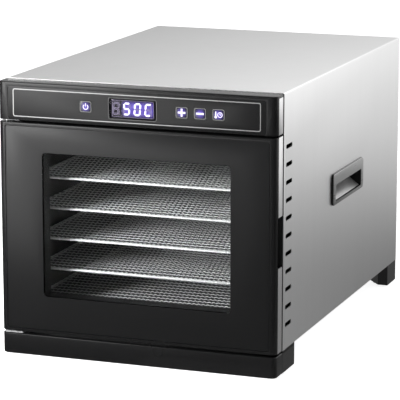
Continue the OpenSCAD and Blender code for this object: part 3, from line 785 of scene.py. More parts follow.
class BuildWrap(bpy.types.Operator):
    """The steel wrap: top and sides folded from one sheet, with its slots and handle openings"""

    bl_idname = "dehydrator.wrap"
    bl_label = "Steel wrap"

    def execute(self, context):
        size = settings("cabinet")
        grip = settings("handle")
        finish = finishes()
        outline = []
        for width, top, radius, way in (
            (HALF_W, WRAP_HI.z, size.bend, 1),
            (HALF_W - size.sheet, WRAP_HI.z - size.sheet, size.bend - size.sheet, -1),
        ):
            run = [(-width, WRAP_LO.z)]
            for side, start in ((-1, 180), (1, 90)):
                for i in range(7):
                    angle = math.radians(start - 90 * i / 6)
                    run.append((
                        side * (width - radius) + radius * math.cos(angle),
                        top - radius + radius * math.sin(angle),
                    ))
            run.append((width, WRAP_LO.z))
            outline += run[::way]
        sheet = prism(outline, "Y", WRAP_LO.y, WRAP_HI.y)
        slot_y = DOOR_LO.y + size.slot_setback
        middle_y, middle_z = handle_middle()
        opening_z0 = middle_z - grip.scoop_drop - grip.wall - grip.sheet_gap
        cutters = []
        for side in SIDES:
            x0, x1 = span(side, HALF_W - 3 * MM, HALF_W + MM)
            for k in range(size.slot_count):
                middle = (slot_y, size.slot_first_z + k * size.slot_pitch)
                slot = rounded_rect(size.slot_length, size.slot_height, size.slot_round, middle)
                cutters.append(prism(slot, "X", x0, x1))
            half = grip.scoop_length / 2 + grip.wall + grip.sheet_gap
            tall = grip.scoop_height + grip.scoop_room + 2 * (grip.wall + grip.sheet_gap)
            hole = rectangle(middle_y - half, opening_z0, middle_y + half, opening_z0 + tall)
            cutters.append(prism(hole, "X", x0, x1))
        flange_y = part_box("back_panel")[0].y
        half = HALF_W - size.sheet / 2
        low = WRAP_LO.z + size.sheet
        wide = size.back_flange
        flange = band(
            rectangle(-half, low, half, WRAP_HI.z - size.sheet / 2),
            rectangle(-half + wide, low + wide, half - wide, WRAP_HI.z - wide),
            "Y", flange_y - size.sheet, flange_y,
        )
        piece(
            "steel_wrap", [(joined(carved(sheet, joined(*cutters)), flange), finish["steel"])],
            "cabinet", ["outer_wrap"],
        )
        return {"FINISHED"}


class BuildMouldings(bpy.types.Operator):
    """The fascia and the plinth, both black mouldings across the front"""

    bl_idname = "dehydrator.mouldings"
    bl_label = "Fascia and plinth"

    def execute(self, context):
        size = settings("cabinet")
        finish = finishes()
        back = STRIP_HI.y
        wide, tall, middle = flat_box(OVERLAY_LO, OVERLAY_HI)
        gap = 0.2 * MM
        wall_y = FASCIA_LO.y + size.hollow_wall
        lid_z = FASCIA_HI.z - size.lid
        end_wall, floor = 5 * MM, 3 * MM
        hollow = box_solid(
            (-HALF_W + end_wall, wall_y, FASCIA_LO.z + floor), (HALF_W - end_wall, back + MM, lid_z)
        )
        recess = plate(wide + gap, tall + gap, 3 * MM, middle, FASCIA_LO.y - MM, OVERLAY_HI.y)
        shell = carved(
            front_moulding(FASCIA_LO.z, FASCIA_HI.z, back), hollow, recess,
            panel_holes(FASCIA_LO.y, wall_y + MM), *strip_seats(FASCIA_LO.z - MM, lid_z),
        )
        lid_back = box_solid(
            (-HALF_W + MM, back - MM, lid_z), (HALF_W - MM, FASCIA_HI.y, FASCIA_HI.z)
        )
        posts = []
        post_x, post_width, post_reach = BOARD_RIGHT + 8 * MM, 10 * MM, 8 * MM
        for side in SIDES:
            x0, x1 = span(side, post_x, post_x + post_width)
            posts.append(box_solid(
                (x0, back - post_reach, FASCIA_LO.z + MM), (x1, FRAME_FRONT, lid_z - STRIP_T)
            ))
        piece(
            "fascia", [(joined(shell, lid_back, *posts), finish["black"])],
            "cabinet", ["fascia_shell"], 30,
        )

        foot, wall, clearance = size.foot_width, size.plinth_wall, 2 * MM
        beam_z = PLINTH_LO.z + size.plinth_height
        beam = front_moulding(PLINTH_LO.z, beam_z, FRAME_FRONT)
        hollow = box_solid(
            (-HALF_W + foot + clearance, PLINTH_LO.y + wall, 0.0),
            (HALF_W - foot - clearance, FRAME_FRONT + MM, beam_z - wall),
        )
        returns = []
        for side in SIDES:
            x0, x1 = span(side, HALF_W - foot, HALF_W)
            returns.append(box_solid(
                (x0, FRAME_FRONT - MM, PLINTH_LO.z), (x1, PLINTH_HI.y, PLINTH_HI.z - clearance)
            ))
            returns.append(box_solid(
                (x0, WRAP_LO.y, PLINTH_HI.z - wall), (x1, PLINTH_HI.y, PLINTH_HI.z)
            ))
        piece(
            "plinth_moulding", [(joined(carved(beam, hollow), *returns), finish["black"])],
            "cabinet", ["plinth"], 30,
        )
        return {"FINISHED"}


# ---------- Door ----------


def notch_cutter():
    """Room for fingertips in the door's free edge."""
    size = settings("door")
    y0 = DOOR_LO.y + size.notch_front
    y1 = STRIP_HI.y + 5 * MM
    outline = rounded_rect(y1 - y0, size.notch_length, 3 * MM, ((y0 + y1) / 2, size.notch_z))
    return prism(outline, "X", HALF_W - size.notch_depth, HALF_W + MM)


class BuildDoor(bpy.types.Operator):
    """The door's black moulding, with its glass recess, finger notch, magnet and bush pockets"""

    bl_idname = "dehydrator.door"
    bl_label = "Door moulding"

    def execute(self, context):
        wide, tall, middle = flat_box(GLASS_LO, GLASS_HI)
        gap = 0.2 * MM
        recess = plate(wide + 2 * gap, tall + 2 * gap, 3 * MM, middle, DOOR_LO.y - MM, GLASS_HI.y)
        inside = box_solid(
            (LINER_LO.x - gap, DOOR_LO.y + 3 * MM, LINER_LO.z - gap),
            (LINER_HI.x + gap, STRIP_HI.y + MM, LINER_HI.z + gap),
        )
        magnet_lo, magnet_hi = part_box("door_magnets")
        magnet_tall = 30 * MM
        pockets = [
            box_solid(
                (magnet_lo.x, magnet_lo.y, z), (magnet_hi.x, STRIP_HI.y + MM, z + magnet_tall)
            )
            for z in (magnet_lo.z, magnet_hi.z - magnet_tall)
        ]
        bush_middle = ((BUSH_LO.x + BUSH_HI.x) / 2, (BUSH_LO.y + BUSH_HI.y) / 2)
        bush_radius = (BUSH_HI.x - BUSH_LO.x) / 2
        bush_tall = 12 * MM
        bores = [
            prism(circle(bush_radius, bush_middle, 32), "Z", z0, z1)
            for z0, z1 in (
                (DOOR_LO.z - MM, DOOR_LO.z + bush_tall), (DOOR_HI.z - bush_tall, DOOR_HI.z + MM)
            )
        ]
        shell = carved(
            front_moulding(DOOR_LO.z, DOOR_HI.z, STRIP_HI.y), recess, inside,
            joined(*strip_seats(DOOR_LO.z - MM, DOOR_HI.z + MM)), joined(*pockets, *bores), notch_cutter(),
        )
        piece("door_moulding", [(shell, finishes()["black"])], "door", ["door_shell"], 30)
        return {"FINISHED"}


class BuildGlazing(bpy.types.Operator):
    """The flush glass panel and the black mask behind it"""

    bl_idname = "dehydrator.glazing"
    bl_label = "Glass and mask"

    def execute(self, context):
        size = settings("door")
        finish = finishes()
        wide, tall, middle = flat_box(GLASS_LO, GLASS_HI)
        window = (0.0, size.window_z)
        clear = rounded_rect(size.window_width, size.window_height, 4 * MM, window)
        pane = plate(wide, tall, 2.8 * MM, middle, GLASS_LO.y, GLASS_HI.y, 0.5 * MM)
        hole = prism(clear, "Y", GLASS_LO.y - MM, GLASS_HI.y + MM)
        border = carved(pane, hole)
        glass = prism(clear, "Y", GLASS_LO.y, GLASS_HI.y)
        piece(
            "glass_panel", [(border, finish["panel"]), (glass, finish["glass"])],
            "door", ["door_glass"],
        )
        edge = box_solid(MASK_LO, MASK_HI)
        cut = prism(clear, "Y", MASK_LO.y - MM, MASK_HI.y + MM)
        piece("mask", [(carved(edge, cut), finish["satin"])], "door", ["window_mask"])
        return {"FINISHED"}


class BuildStrips(bpy.types.Operator):
    """The steel strips let into the sides of the fascia and the door"""

    bl_idname = "dehydrator.strips"
    bl_label = "Edge strips"

    def execute(self, context):
        steel = finishes()["strip"]
        soft = 0.2 * MM
        fascia = []
        lo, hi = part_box("fascia_edge_strips")
        for side in SIDES:
            x0, x1 = span(side, HALF_W - STRIP_T, HALF_W)
            fascia.append(box_solid((x0, lo.y, lo.z), (x1, hi.y, hi.z), soft))
            strip = box_solid((x0, STRIP_LO.y, STRIP_LO.z), (x1, STRIP_HI.y, STRIP_HI.z), soft)
            word = "left" if side < 0 else "right"
            if side > 0:
                strip = carved(strip, notch_cutter())
            piece(
                f"strip_{word}", [(strip, steel)], "door", [f"door_edge_strip_{word}"]
            )
        piece("fascia_strips", [(joined(*fascia), steel)], "cabinet", ["fascia_edge_strips"])
        return {"FINISHED"}


# ---------- Controls ----------


class BuildPanel(bpy.types.Operator):
    """The inset control panel, the silver line on it and the display's window"""

    bl_idname = "dehydrator.control_panel"
    bl_label = "Control panel"

    def execute(self, context):
        finish = finishes()
        wide, tall, middle = flat_box(OVERLAY_LO, OVERLAY_HI)
        holes = panel_holes(OVERLAY_LO.y - MM, OVERLAY_HI.y + MM)
        panel = plate(wide, tall, 2.9 * MM, middle, OVERLAY_LO.y, OVERLAY_HI.y, 0.35 * MM)
        piece(
            "panel", [(carved(panel, holes), finish["panel"])],
            "cabinet", ["control_overlay"],
        )
        lo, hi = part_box("overlay_border")
        wide, tall, middle = flat_box(lo, hi)
        ring = outline_ring(wide, tall, (2.5 * MM, 1.5 * MM), middle, 1.0 * MM, lo.y, hi.y)
        piece("silver_line", [(ring, finish["silver"])], "cabinet", ["overlay_border"])
        wide, tall, middle = flat_box(LENS_LO, LENS_HI)
        window = plate(wide, tall, 3.4 * MM, middle, LENS_LO.y, LENS_HI.y, 0.2 * MM)
        inset = 0.4 * MM
        outline = outline_ring(
            wide - inset, tall - inset, (3.2 * MM, 2.5 * MM), middle, settings("reading").line,
            LENS_LO.y - 0.04 * MM, LENS_LO.y + 0.1 * MM,
        )
        module_wide, module_tall, _ = flat_box(*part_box("led_display"))
        surround = band(
            rounded_rect(wide - inset / 2, tall - inset / 2, 3.3 * MM, middle),
            rounded_rect(module_wide, module_tall, 1.0 * MM, middle),
            "Y", LENS_HI.y, LENS_HI.y + 0.09 * MM,
        )
        piece(
            "display_window",
            [(window, finish["lens"]), (outline, finish["key_line"]), (surround, finish["satin"])],
            "cabinet", ["display_lens"],
        )
        return {"FINISHED"}


# Half the width and half the length of a bar in the plus and minus signs
SIGN_STROKE = 1.1 * MM
SIGN_REACH = 4.5 * MM
LIT_STROKES = ("", "afgcd", "abcdef", "adef")
STROKE_ENDS = {
    "a": ((-1, 1), (1, 1)),
    "b": ((1, 1), (1, 0)),
    "c": ((1, 0), (1, -1)),
    "d": ((-1, -1), (1, -1)),
    "e": ((-1, 0), (-1, -1)),
    "f": ((-1, 1), (-1, 0)),
    "g": ((-1, 0), (1, 0)),
}


def stroke_outline(name, width, middle, inset=0.0):
    """The six corners of one stroke of a digit, leaning with the digit."""
    reading = settings("reading")
    ends = [
        Vector((x * reading.digit_width / 2, z * reading.digit_height / 2))
        for x, z in STROKE_ENDS[name]
    ]
    along = (ends[1] - ends[0]).normalized()
    across = Vector((-along.y, along.x)) * (width / 2 - inset)
    tip = along * (0.25 * MM + inset)
    shoulder = along * (0.25 * MM + width / 2)
    start, end = ends
    corners = (
        start + tip, start + shoulder - across, end - shoulder - across,
        end - tip, end - shoulder + across, start + shoulder + across,
    )
    return [(middle[0] + p.x + p.y * reading.slant, middle[1] + p.y) for p in corners]


class BuildReading(bpy.types.Operator):
    """The display module with its lit digits, unlit strokes and the glow behind them"""

    bl_idname = "dehydrator.reading"
    bl_label = "Display"

    def execute(self, context):
        reading = settings("reading")
        finish = finishes()
        lo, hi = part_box("led_display")
        wide, tall, middle = flat_box(lo, hi)
        front = lo.y
        lit_solids, ghosts = [], []
        bed = front + 0.02 * MM
        for index, strokes in enumerate(LIT_STROKES):
            centre = (reading.first_digit + index * reading.digit_pitch, middle[1])
            for name in STROKE_ENDS:
                if name in strokes:
                    outline = stroke_outline(name, reading.stroke, centre)
                    lit_solids.append(prism(outline, "Y", front - MARK_LIFT, bed))
                else:
                    ghosts.append(band(
                        stroke_outline(name, reading.stroke, centre),
                        stroke_outline(name, reading.stroke, centre, reading.ghost),
                        "Y", front - LINE_LIFT, bed,
                    ))
            dot = (centre[0] + 0.62 * reading.digit_width, centre[1] - reading.digit_height / 2)
            ghosts.append(prism(circle(0.6 * MM, dot, 12), "Y", front - LINE_LIFT, bed))
        line = 0.4 * MM
        border = outline_ring(
            wide - line, tall - line, (1.2 * MM, 0.8 * MM), middle, line, front - LINE_LIFT, bed
        )
        module = plate(wide, tall, 1 * MM, middle, front, hi.y)
        piece(
            "display_module",
            [
                (module, finish["display"]), (joined(*lit_solids), finish["digit"]),
                (joined(border, *ghosts), finish["ghost"]),
            ],
            "cabinet", ["led_display"],
        )
        return {"FINISHED"}


def arc_outline(radius, width, start, end, middle, steps=20):
    """Outline of a curved stroke between two angles in degrees."""
    points = []
    for r, angles in ((radius + width / 2, (start, end)), (radius - width / 2, (end, start))):
        for i in range(steps + 1):
            angle = math.radians(angles[0] + (angles[1] - angles[0]) * i / steps)
            points.append((middle[0] + r * math.cos(angle), middle[1] + r * math.sin(angle)))
    return points


def bar(x, z, half_width, half_height):
    """The corners of an upright or level bar round its middle."""
    return rectangle(x - half_width, z - half_height, x + half_width, z + half_height)


def power_sign(x, z):
    """An open circle with an upright stroke in its gap."""
    ring = arc_outline(2.9 * MM, 0.9 * MM, 125, 415, (x, z - 0.2 * MM))
    return [ring, bar(x, z + 2.2 * MM, 0.45 * MM, 1.8 * MM)]


def minus_sign(x, z):
    """A level bar."""
    return [bar(x, z, SIGN_REACH, SIGN_STROKE)]


def plus_sign(x, z):
    """A level bar with an upright one above and below it."""
    middle, half = (SIGN_REACH + SIGN_STROKE) / 2, (SIGN_REACH - SIGN_STROKE) / 2
    return minus_sign(x, z) + [
        bar(x, z + middle, SIGN_STROKE, half), bar(x, z - middle, SIGN_STROKE, half)
    ]


def mode_sign(x, z):
    """A thermometer beside a clock."""
    stem_x, clock_x = x - 3.2 * MM, x + 1.8 * MM
    hand = 0.35 * MM
    return [
        circle(1.5 * MM, (stem_x, z - 2.6 * MM), 16),
        rounded_rect(1.4 * MM, 5.0 * MM, 0.69 * MM, (stem_x, z + 1.4 * MM)),
        arc_outline(2.7 * MM, 0.8 * MM, 0, 359, (clock_x, z), 28),
        rectangle(clock_x - hand, z - hand, clock_x + hand, z + 1.9 * MM),
        rectangle(clock_x + hand, z - hand, clock_x + 1.6 * MM, z + hand),
    ]


SIGNS = dict(zip(KEY_NODES, (power_sign, plus_sign, minus_sign, mode_sign)))


class BuildKeys(bpy.types.Operator):
    """The four lit keys, each with its own sign"""

    bl_idname = "dehydrator.keys"
    bl_label = "Keys"

    def execute(self, context):
        finish = finishes()
        flange_y = GLASS_LO.y + 3.5 * MM
        flange_t = 1.2 * MM
        inset = 0.4 * MM
        for node, (wide, tall, middle) in zip(KEY_NODES, key_boxes()):
            lo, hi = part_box(node)
            cap = plate(wide, tall, 2.5 * MM, middle, lo.y, hi.y, 0.35 * MM)
            flange = plate(
                wide + 2 * KEY_FLANGE, tall + 2 * KEY_FLANGE, 2.5 * MM, middle,
                flange_y, flange_y + flange_t,
            )
            ring = outline_ring(
                wide - inset, tall - inset, (2.4 * MM, 1.5 * MM), middle, 1.1 * MM,
                lo.y - LINE_LIFT, lo.y + 0.05 * MM,
            )
            strokes = [
                prism(outline, "Y", lo.y - MARK_LIFT, lo.y + 0.04 * MM) for outline in SIGNS[node](*middle)
            ]
            face = glow(
                f"{node}_face", settings("colours").violet, middle, (0.0, 0.0), 7.5 * MM, 1.35
            )
            piece(
                f"{node}_cap",
                [
                    (joined(cap, flange), face), (ring, finish["key_line"]),
                    (joined(*strokes), finish["sign"]),
                ],
                node, [node],
            )
        return {"FINISHED"}


# ---------- Handles and trays ----------


class BuildHandles(bpy.types.Operator):
    """The two recessed handles: a bezel on the side and a scoop behind it"""

    bl_idname = "dehydrator.handles"
    bl_label = "Handles"

    def execute(self, context):
        size = settings("handle")
        finish = finishes()
        for word, side in (("left", -1), ("right", 1)):
            lo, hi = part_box(f"handle_cup_{word}")
            middle_y, middle_z = (lo.y + hi.y) / 2, (lo.z + hi.z) / 2
            low = middle_z - size.scoop_drop
            high = low + size.scoop_height
            top = high + size.scoop_room
            opening = rounded_rect(
                size.scoop_length, size.scoop_height, 2 * MM, (middle_y, (low + high) / 2)
            )
            face_x = HALF_W + size.proud
            cutter = prism(opening, "X", *span(side, HALF_W - MM, face_x + MM))
            plate_x = face_x - size.face
            plates = []
            for near, far, shrink, soft in (
                (HALF_W, plate_x, 0.0, 0.3 * MM), (plate_x - 0.2 * MM, face_x, 1.0 * MM, 0.45 * MM)
            ):
                outline = rounded_rect(
                    hi.y - lo.y - shrink, hi.z - lo.z - shrink, 6 * MM - shrink / 2, (middle_y, middle_z)
                )
                rounding = (soft, 0.0) if side < 0 else (0.0, soft)
                plates.append(carved(prism(outline, "X", *span(side, near, far), *rounding), cutter.copy()))
            cutter.free()
            inner_x = HALF_W - size.scoop_depth
            wall = size.wall
            half = size.scoop_length / 2
            outer_x = side * (HALF_W + 0.3 * MM)
            outer_profile = [
                (outer_x, low - wall), (side * (inner_x - wall), low + size.scoop_rise - wall),
                (side * (inner_x - wall), top + wall), (outer_x, top + wall),
            ]
            mouth_x = side * (HALF_W + 2 * MM)
            inner_profile = [
                (mouth_x, low - wall), (side * inner_x, low + size.scoop_rise),
                (side * inner_x, top), (mouth_x, top),
            ]
            trough = carved(
                prism(outer_profile, "Y", middle_y - half, middle_y + half),
                prism(inner_profile, "Y", middle_y - half - MM, middle_y + half + MM),
            )
            # The scoop's end walls are given the black moulding of the bezel's base: painted shade at the
            # ends of the scoop.
            ends = [
                prism(outer_profile, "Y", middle_y + near, middle_y + far)
                for near, far in (span(end, half, half + wall) for end in SIDES)
            ]
            piece(
                f"handle_{word}",
                [
                    (plates[1], finish["bezel"]), (trough, finish["scoop"]),
                    (joined(plates[0], *ends), finish["black"]),
                ],
                "cabinet", [f"handle_cup_{word}"], 30,
            )
        return {"FINISHED"}


def weave_tree(name, spread_axis, reach_axis, material):
    """A tree for one direction of a weave: crimped wires side by side, within round corners."""
    tree = bpy.data.node_groups.new(name, "GeometryNodeTree")
    tree.interface.new_socket("Geometry", in_out="INPUT", socket_type="NodeSocketGeometry")
    for socket in ("Spread", "Reach", "Crimp", "Radius", "Corner"):
        tree.interface.new_socket(socket, in_out="INPUT", socket_type="NodeSocketFloat")
    for socket in ("Wires", "Crossings"):
        tree.interface.new_socket(socket, in_out="INPUT", socket_type="NodeSocketInt")
    tree.interface.new_socket("Geometry", in_out="OUTPUT", socket_type="NodeSocketGeometry")
    nodes = Nodes(tree)
    given = nodes.add("NodeGroupInput").outputs
    pitch = nodes.math("DIVIDE", given["Spread"], given["Wires"])
    cross_pitch = nodes.math("DIVIDE", given["Reach"], given["Crossings"])
    half = nodes.math("MULTIPLY", given["Reach"], 0.5)
    ends = [
        nodes.add("ShaderNodeCombineXYZ", {reach_axis: value}).outputs[0]
        for value in (nodes.math("MULTIPLY", half, -1.0), half)
    ]
    line = nodes.add("GeometryNodeCurvePrimitiveLine", {"Start": ends[0], "End": ends[1]}).outputs[0]
    steps = nodes.math("ADD", nodes.math("MULTIPLY", given["Crossings"], 2.0), 1.0)
    wire = nodes.add("GeometryNodeResampleCurve", {"Curve": line, "Count": steps}).outputs[0]
    first = nodes.math("MULTIPLY", nodes.math("SUBTRACT", pitch, given["Spread"]), 0.5)
    start = nodes.add("ShaderNodeCombineXYZ", {spread_axis: first}).outputs[0]
    step = nodes.add("ShaderNodeCombineXYZ", {spread_axis: pitch}).outputs[0]
    row = nodes.add(
        "GeometryNodeMeshLine", {"Count": given["Wires"], "Start Location": start, "Offset": step}
    ).outputs[0]
    placed = nodes.add("GeometryNodeInstanceOnPoints", {"Points": row, "Instance": wire}).outputs[0]
    wires = nodes.add("GeometryNodeRealizeInstances", {"Geometry": placed}).outputs[0]
    position = nodes.add("GeometryNodeInputPosition").outputs[0]
    parts = nodes.add("ShaderNodeSeparateXYZ", {0: position}).outputs
    turns = []
    for axis, extent, gap in (
        (spread_axis, given["Spread"], pitch), (reach_axis, given["Reach"], cross_pitch)
    ):
        from_edge = nodes.math("ADD", parts[axis], nodes.math("MULTIPLY", extent, 0.5))
        steps_in = nodes.math("SUBTRACT", nodes.math("DIVIDE", from_edge, gap), 0.5)
        turns.append(nodes.math("COSINE", nodes.math("MULTIPLY", steps_in, math.pi)))
    rise = nodes.math("MULTIPLY", nodes.math("MULTIPLY", *turns), given["Crimp"])
    # Wires next to an edge are shortened, to end on the round corners
    room = nodes.math(
        "SUBTRACT", nodes.math("MULTIPLY", given["Spread"], 0.5), nodes.math("ABSOLUTE", parts[spread_axis])
    )
    into = nodes.math("MAXIMUM", nodes.math("SUBTRACT", given["Corner"], room), 0.0)
    squares = nodes.math(
        "SUBTRACT",
        nodes.math("MULTIPLY", given["Corner"], given["Corner"]), nodes.math("MULTIPLY", into, into),
    )
    inset = nodes.math("SUBTRACT", given["Corner"], nodes.math("SQRT", squares))
    scale = nodes.math("SUBTRACT", 1.0, nodes.math("DIVIDE", inset, half))
    long = nodes.math("MULTIPLY", parts[reach_axis], scale)
    target = nodes.add(
        "ShaderNodeCombineXYZ", {spread_axis: parts[spread_axis], reach_axis: long, "Z": rise}
    ).outputs[0]
    bent = nodes.add("GeometryNodeSetPosition", {"Geometry": wires, "Position": target}).outputs[0]
    profile = nodes.add(
        "GeometryNodeCurvePrimitiveCircle", {"Resolution": 4, "Radius": given["Radius"]}
    ).outputs[0]
    solid = nodes.add(
        "GeometryNodeCurveToMesh", {"Curve": bent, "Profile Curve": profile, "Fill Caps": True}
    ).outputs[0]
    realized = nodes.add("GeometryNodeRealizeInstances", {"Geometry": solid}).outputs[0]
    finished = nodes.add("GeometryNodeSetMaterial", {"Geometry": realized, "Material": material}).outputs[0]
    nodes.add("NodeGroupOutput", {"Geometry": finished})
    return tree


def grown(tree, values):
    """The mesh that a tree makes from its named inputs."""
    work = linked("work", bpy.data.meshes.new("seed"))
    modifier = work.modifiers.new("grow", "NODES")
    modifier.node_group = tree
    sockets = {
        item.name: item.identifier for item in tree.interface.items_tree
        if item.item_type == "SOCKET" and item.in_out == "INPUT"
    }
    for name, value in values.items():
        modifier[sockets[name]] = value
    result = bmesh.new()
    made = evaluated_mesh(work)
    result.from_mesh(made)
    bpy.data.meshes.remove(made)
    if not result.faces:
        raise RuntimeError(f"the tree {tree.name} made nothing")
    return result


def rim_wraps(wide, long, radius, wire, pitch):
    """The ends of wires bent round the rim, along all four sides but not at the corners."""
    rings = []
    corners = 30 * MM
    for along, across, axis in ((wide, long, "X"), (long, wide, "Y")):
        count = int((along - corners) // pitch)
        for side in SIDES:
            for i in range(count + 1):
                at = (i - count / 2) * pitch
                loop = []
                for a in (math.tau * k / 10 for k in range(10)):
                    out = side * across / 2 + radius * math.cos(a)
                    up = radius * math.sin(a)
                    loop.append((at, out, up) if axis == "X" else (out, at, up))
                rings.append(tube(loop, wire, 5, closed=True))
    return joined(*rings)


class BuildTrays(bpy.types.Operator):
    """The six trays: a bent rim, woven wire mesh and the wire ends wrapped round the rim"""

    bl_idname = "dehydrator.trays"
    bl_label = "Trays"

    def execute(self, context):
        size = settings("tray")
        finish = finishes()
        # The thin wires along take the darkened copy of the tray wire: painted shade.
        along = weave_tree("Wires along", "X", "Y", finish["thin_wire"])
        across = weave_tree("Wires across", "Y", "X", finish["wire"])
        wrap_wire = 0.45 * MM
        rim_radius = size.rim - wrap_wire
        for node in TRAY_NODES:
            lo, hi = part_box(node)
            middle = (lo + hi) / 2
            wide = hi.x - lo.x - 2 * size.rim
            long = hi.y - lo.y - 2 * size.rim
            counts = round(wide / size.pitch_x), round(long / size.pitch_y)
            thin = grown(along, {
                "Spread": wide, "Reach": long, "Crimp": size.crimp, "Radius": size.thin_wire,
                "Corner": size.corner, "Wires": counts[0], "Crossings": counts[1],
            })
            thick = grown(across, {
                "Spread": long, "Reach": wide, "Crimp": -size.crimp, "Radius": size.wire,
                "Corner": size.corner, "Wires": counts[1], "Crossings": counts[0],
            })
            path = [(x, y, 0.0) for x, y in rounded_rect(wide, long, size.corner, steps=8)]
            rim = tube(path, rim_radius, 12, closed=True)
            wraps = rim_wraps(wide, long, rim_radius, wrap_wire, size.wrap_pitch)
            parts = (
                (joined(thick, wraps), finish["wire"]), (rim, finish["rim"]), (thin, finish["thin_wire"])
            )
            for solid, _ in parts:
                bmesh.ops.translate(solid, verts=solid.verts, vec=middle)
            piece(f"{node}_wires", parts, node, [node], 60)
        return {"FINISHED"}


# ---------- Parts kept from the frame ----------

KEPT_FINISHES = {
    "zinc": ("base_pan", "back_panel", "motor_bracket", "heater_clips", "catch_plates"),
    "chamber": ("side_rack_left", "side_rack_right", "chamber_top", "chamber_floor", "fan_baffle"),
    "paint": ("front_frame",),
    "foot": ("rear_foot_left", "rear_foot_right"),
    "satin": ("door_liner", "key_switches", "mains_inlet", "thermal_cutout"),
    "board": ("control_board", "power_board"),
    "rubber": ("door_gasket", "foot_pads"),
    "iron": ("door_magnets",),
    "nylon": ("hinge_bushes",),
    "bright": (
        "upper_hinge", "lower_hinge", "back_screws", "foot_screws", "liner_screws", "motor_shaft", "air_probe"
    ),
    "aluminium": ("fan_impeller",),
    "motor": ("fan_motor",),
    "oxide": ("heater_loops",),
    "ribbon": ("ribbon_cable",),
    "lead": ("mains_leads",),
}
ROUNDED_NODES = ("rear_foot_left", "rear_foot_right", "door_liner", "mains_inlet", "fan_motor")


class FinishKeptParts(bpy.types.Operator):
    """Finishes for the parts kept from the frame, with soft edges where they are moulded"""

    bl_idname = "dehydrator.kept_parts"
    bl_label = "Inner parts"

    def execute(self, context):
        finish = finishes()
        for name, nodes in KEPT_FINISHES.items():
            for node in nodes:
                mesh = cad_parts[node].data
                for index in range(len(mesh.materials)):
                    mesh.materials[index] = finish[name]
        for node in ROUNDED_NODES:
            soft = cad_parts[node].modifiers.new("soft edges", "BEVEL")
            soft.width = 0.5 * MM
            soft.segments = 2
            soft.limit_method = "ANGLE"
        return {"FINISHED"}


# ---------- Stage ----------


def area_light(name, location, target, size, power):
    """A soft rectangular light aimed at a point."""
    data = bpy.data.lights.new(name, "AREA")
    data.shape = "RECTANGLE"
    data.size, data.size_y = size
    data.energy = power
    light = linked(name, data)
    light.location = location
    light.rotation_euler = (Vector(target) - Vector(location)).to_track_quat("-Z", "Y").to_euler()
    light.visible_camera = False
    return light


def card(name, low, high, dim, ramps, bright):
    """A card on the floor that only reflections see, brighter towards the far end of each ramp."""
    mesh = bpy.data.meshes.new(name)
    corners = [(x, y, MM) for x, y in rectangle(*low, *high)]
    mesh.from_pydata(corners, [], [(0, 1, 2, 3)])
    made = linked(name, mesh)
    material, nodes, position = begun(name)
    parts = nodes.add("ShaderNodeSeparateXYZ", {0: position}).outputs
    gain = 1.0
    for axis, (start, end) in ramps.items():
        gain = nodes.math("MULTIPLY", gain, nodes.ramp(parts[axis], start, end))
    strength = nodes.math("ADD", nodes.math("MULTIPLY", gain, bright - dim), dim)
    shader = nodes.add("ShaderNodeEmission", {"Color": (1, 1, 1, 1), "Strength": strength})
    mesh.materials.append(ended(material, nodes, shader))
    for kind in ("camera", "diffuse", "transmission", "shadow", "volume_scatter"):
        setattr(made, f"visible_{kind}", False)
    return made


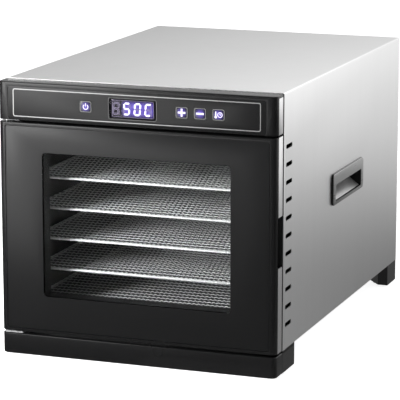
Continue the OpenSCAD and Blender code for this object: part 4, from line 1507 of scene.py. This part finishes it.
class BuildStage(bpy.types.Operator):
    """The pale floor, the soft lights and the camera"""

    bl_idname = "dehydrator.stage"
    bl_label = "Stage"

    def execute(self, context):
        scene = context.scene
        scene.view_settings.view_transform = "Standard"
        world = bpy.data.worlds.new("studio")
        world.use_nodes = True
        background = world.node_tree.nodes["Background"]
        nodes = Nodes(world.node_tree)
        direction = nodes.add("ShaderNodeTexCoord").outputs["Generated"]
        parts = nodes.add("ShaderNodeSeparateXYZ", {0: direction}).outputs
        to_back = nodes.ramp(parts["Y"], -0.3, 0.6, 0.12, 1.0)
        to_right = nodes.ramp(parts["X"], -0.75, 0.1, 0.2, 1.3)
        studio = nodes.math("MULTIPLY", to_back, to_right)
        seen = nodes.add("ShaderNodeLightPath").outputs["Is Camera Ray"]
        nodes.feed(background, "Strength", nodes.math("MAXIMUM", studio, seen))
        background.inputs["Color"].default_value = (1, 1, 1, 1)
        scene.world = world

        reach = 30.0
        mesh = bpy.data.meshes.new("floor")
        corners = [(x, y, 0) for x, y in rectangle(-reach, -reach, reach, reach)]
        mesh.from_pydata(corners, [], [(0, 1, 2, 3)])
        floor = linked("floor", mesh)
        pale = bpy.data.materials.new("pale_floor")
        pale.use_nodes = True
        surface = pale.node_tree.nodes["Principled BSDF"].inputs
        surface["Base Color"].default_value = (0.8, 0.8, 0.8, 1)
        surface["Roughness"].default_value = 0.9
        surface["Emission Color"].default_value = (1, 1, 1, 1)
        surface["Emission Strength"].default_value = 0.85
        mesh.materials.append(pale)
        floor.visible_glossy = False

        front_card = card(
            "front_card", (-2.4, -3.6), (3.4, -0.3), 0.08,
            {"X": (-0.15, -0.75), "Y": (-0.6, -1.5)}, 3.0,
        )
        side_card = card("side_card", (0.0, -0.3), (3.4, 2.4), 0.2, {"Y": (0.2, 1.7)}, 0.85)
        target, size = (0.0, 0.0, 0.14), (0.5, 0.5)
        window_light = area_light("window_light", (-0.75, -1.3, 0.75), target, size, 80.0)
        window_light.visible_glossy = False
        sheen_light = area_light("sheen_light", (-0.75, -1.3, 0.5), target, size, 6.8)

        data = bpy.data.cameras.new("camera")
        data.lens = 209.0
        camera = linked("camera", data)
        camera.location = (0.9628, -2.6646, 0.7424)
        looking_down, turned = math.radians(11.87), math.radians(20.14)
        camera.rotation_euler = (math.radians(90) - looking_down, 0.0, turned)
        scene.camera = camera
        return {"FINISHED"}


# ---------- Add-on ----------

OPERATORS = (
    BuildWrap, BuildMouldings, BuildDoor, BuildGlazing, BuildStrips, BuildPanel, BuildReading,
    BuildKeys, BuildHandles, BuildTrays, FinishKeptParts, BuildStage,
)
GROUPS = ("cabinet", "door", "handle", "tray", "reading", "colours")


class DehydratorPanel(bpy.types.Panel):
    """Lists the dehydrator's operators in the sidebar"""

    bl_idname = "VIEW3D_PT_dehydrator"
    bl_label = "Food dehydrator"
    bl_space_type = "VIEW_3D"
    bl_region_type = "UI"
    bl_category = "Dehydrator"

    def draw(self, context):
        for operator in OPERATORS:
            self.layout.operator(operator.bl_idname)
        for name in GROUPS:
            box = self.layout.box()
            values = getattr(context.scene, f"dehydrator_{name}")
            for key in values.bl_rna.properties.keys():
                if key not in ("rna_type", "name"):
                    box.prop(values, key)


def register():
    for name, kind in zip(GROUPS, SETTINGS):
        bpy.utils.register_class(kind)
        setattr(bpy.types.Scene, f"dehydrator_{name}", PointerProperty(type=kind))
    for kind in (*OPERATORS, DehydratorPanel):
        bpy.utils.register_class(kind)


def unregister():
    for kind in (DehydratorPanel, *reversed(OPERATORS)):
        bpy.utils.unregister_class(kind)
    for name, kind in zip(GROUPS, SETTINGS):
        delattr(bpy.types.Scene, f"dehydrator_{name}")
        bpy.utils.unregister_class(kind)


def main():
    """Builds the whole object."""
    register()
    for operator in OPERATORS:
        category, name = operator.bl_idname.split(".")
        getattr(getattr(bpy.ops, category), name)()


if __name__ == "__main__":
    main()
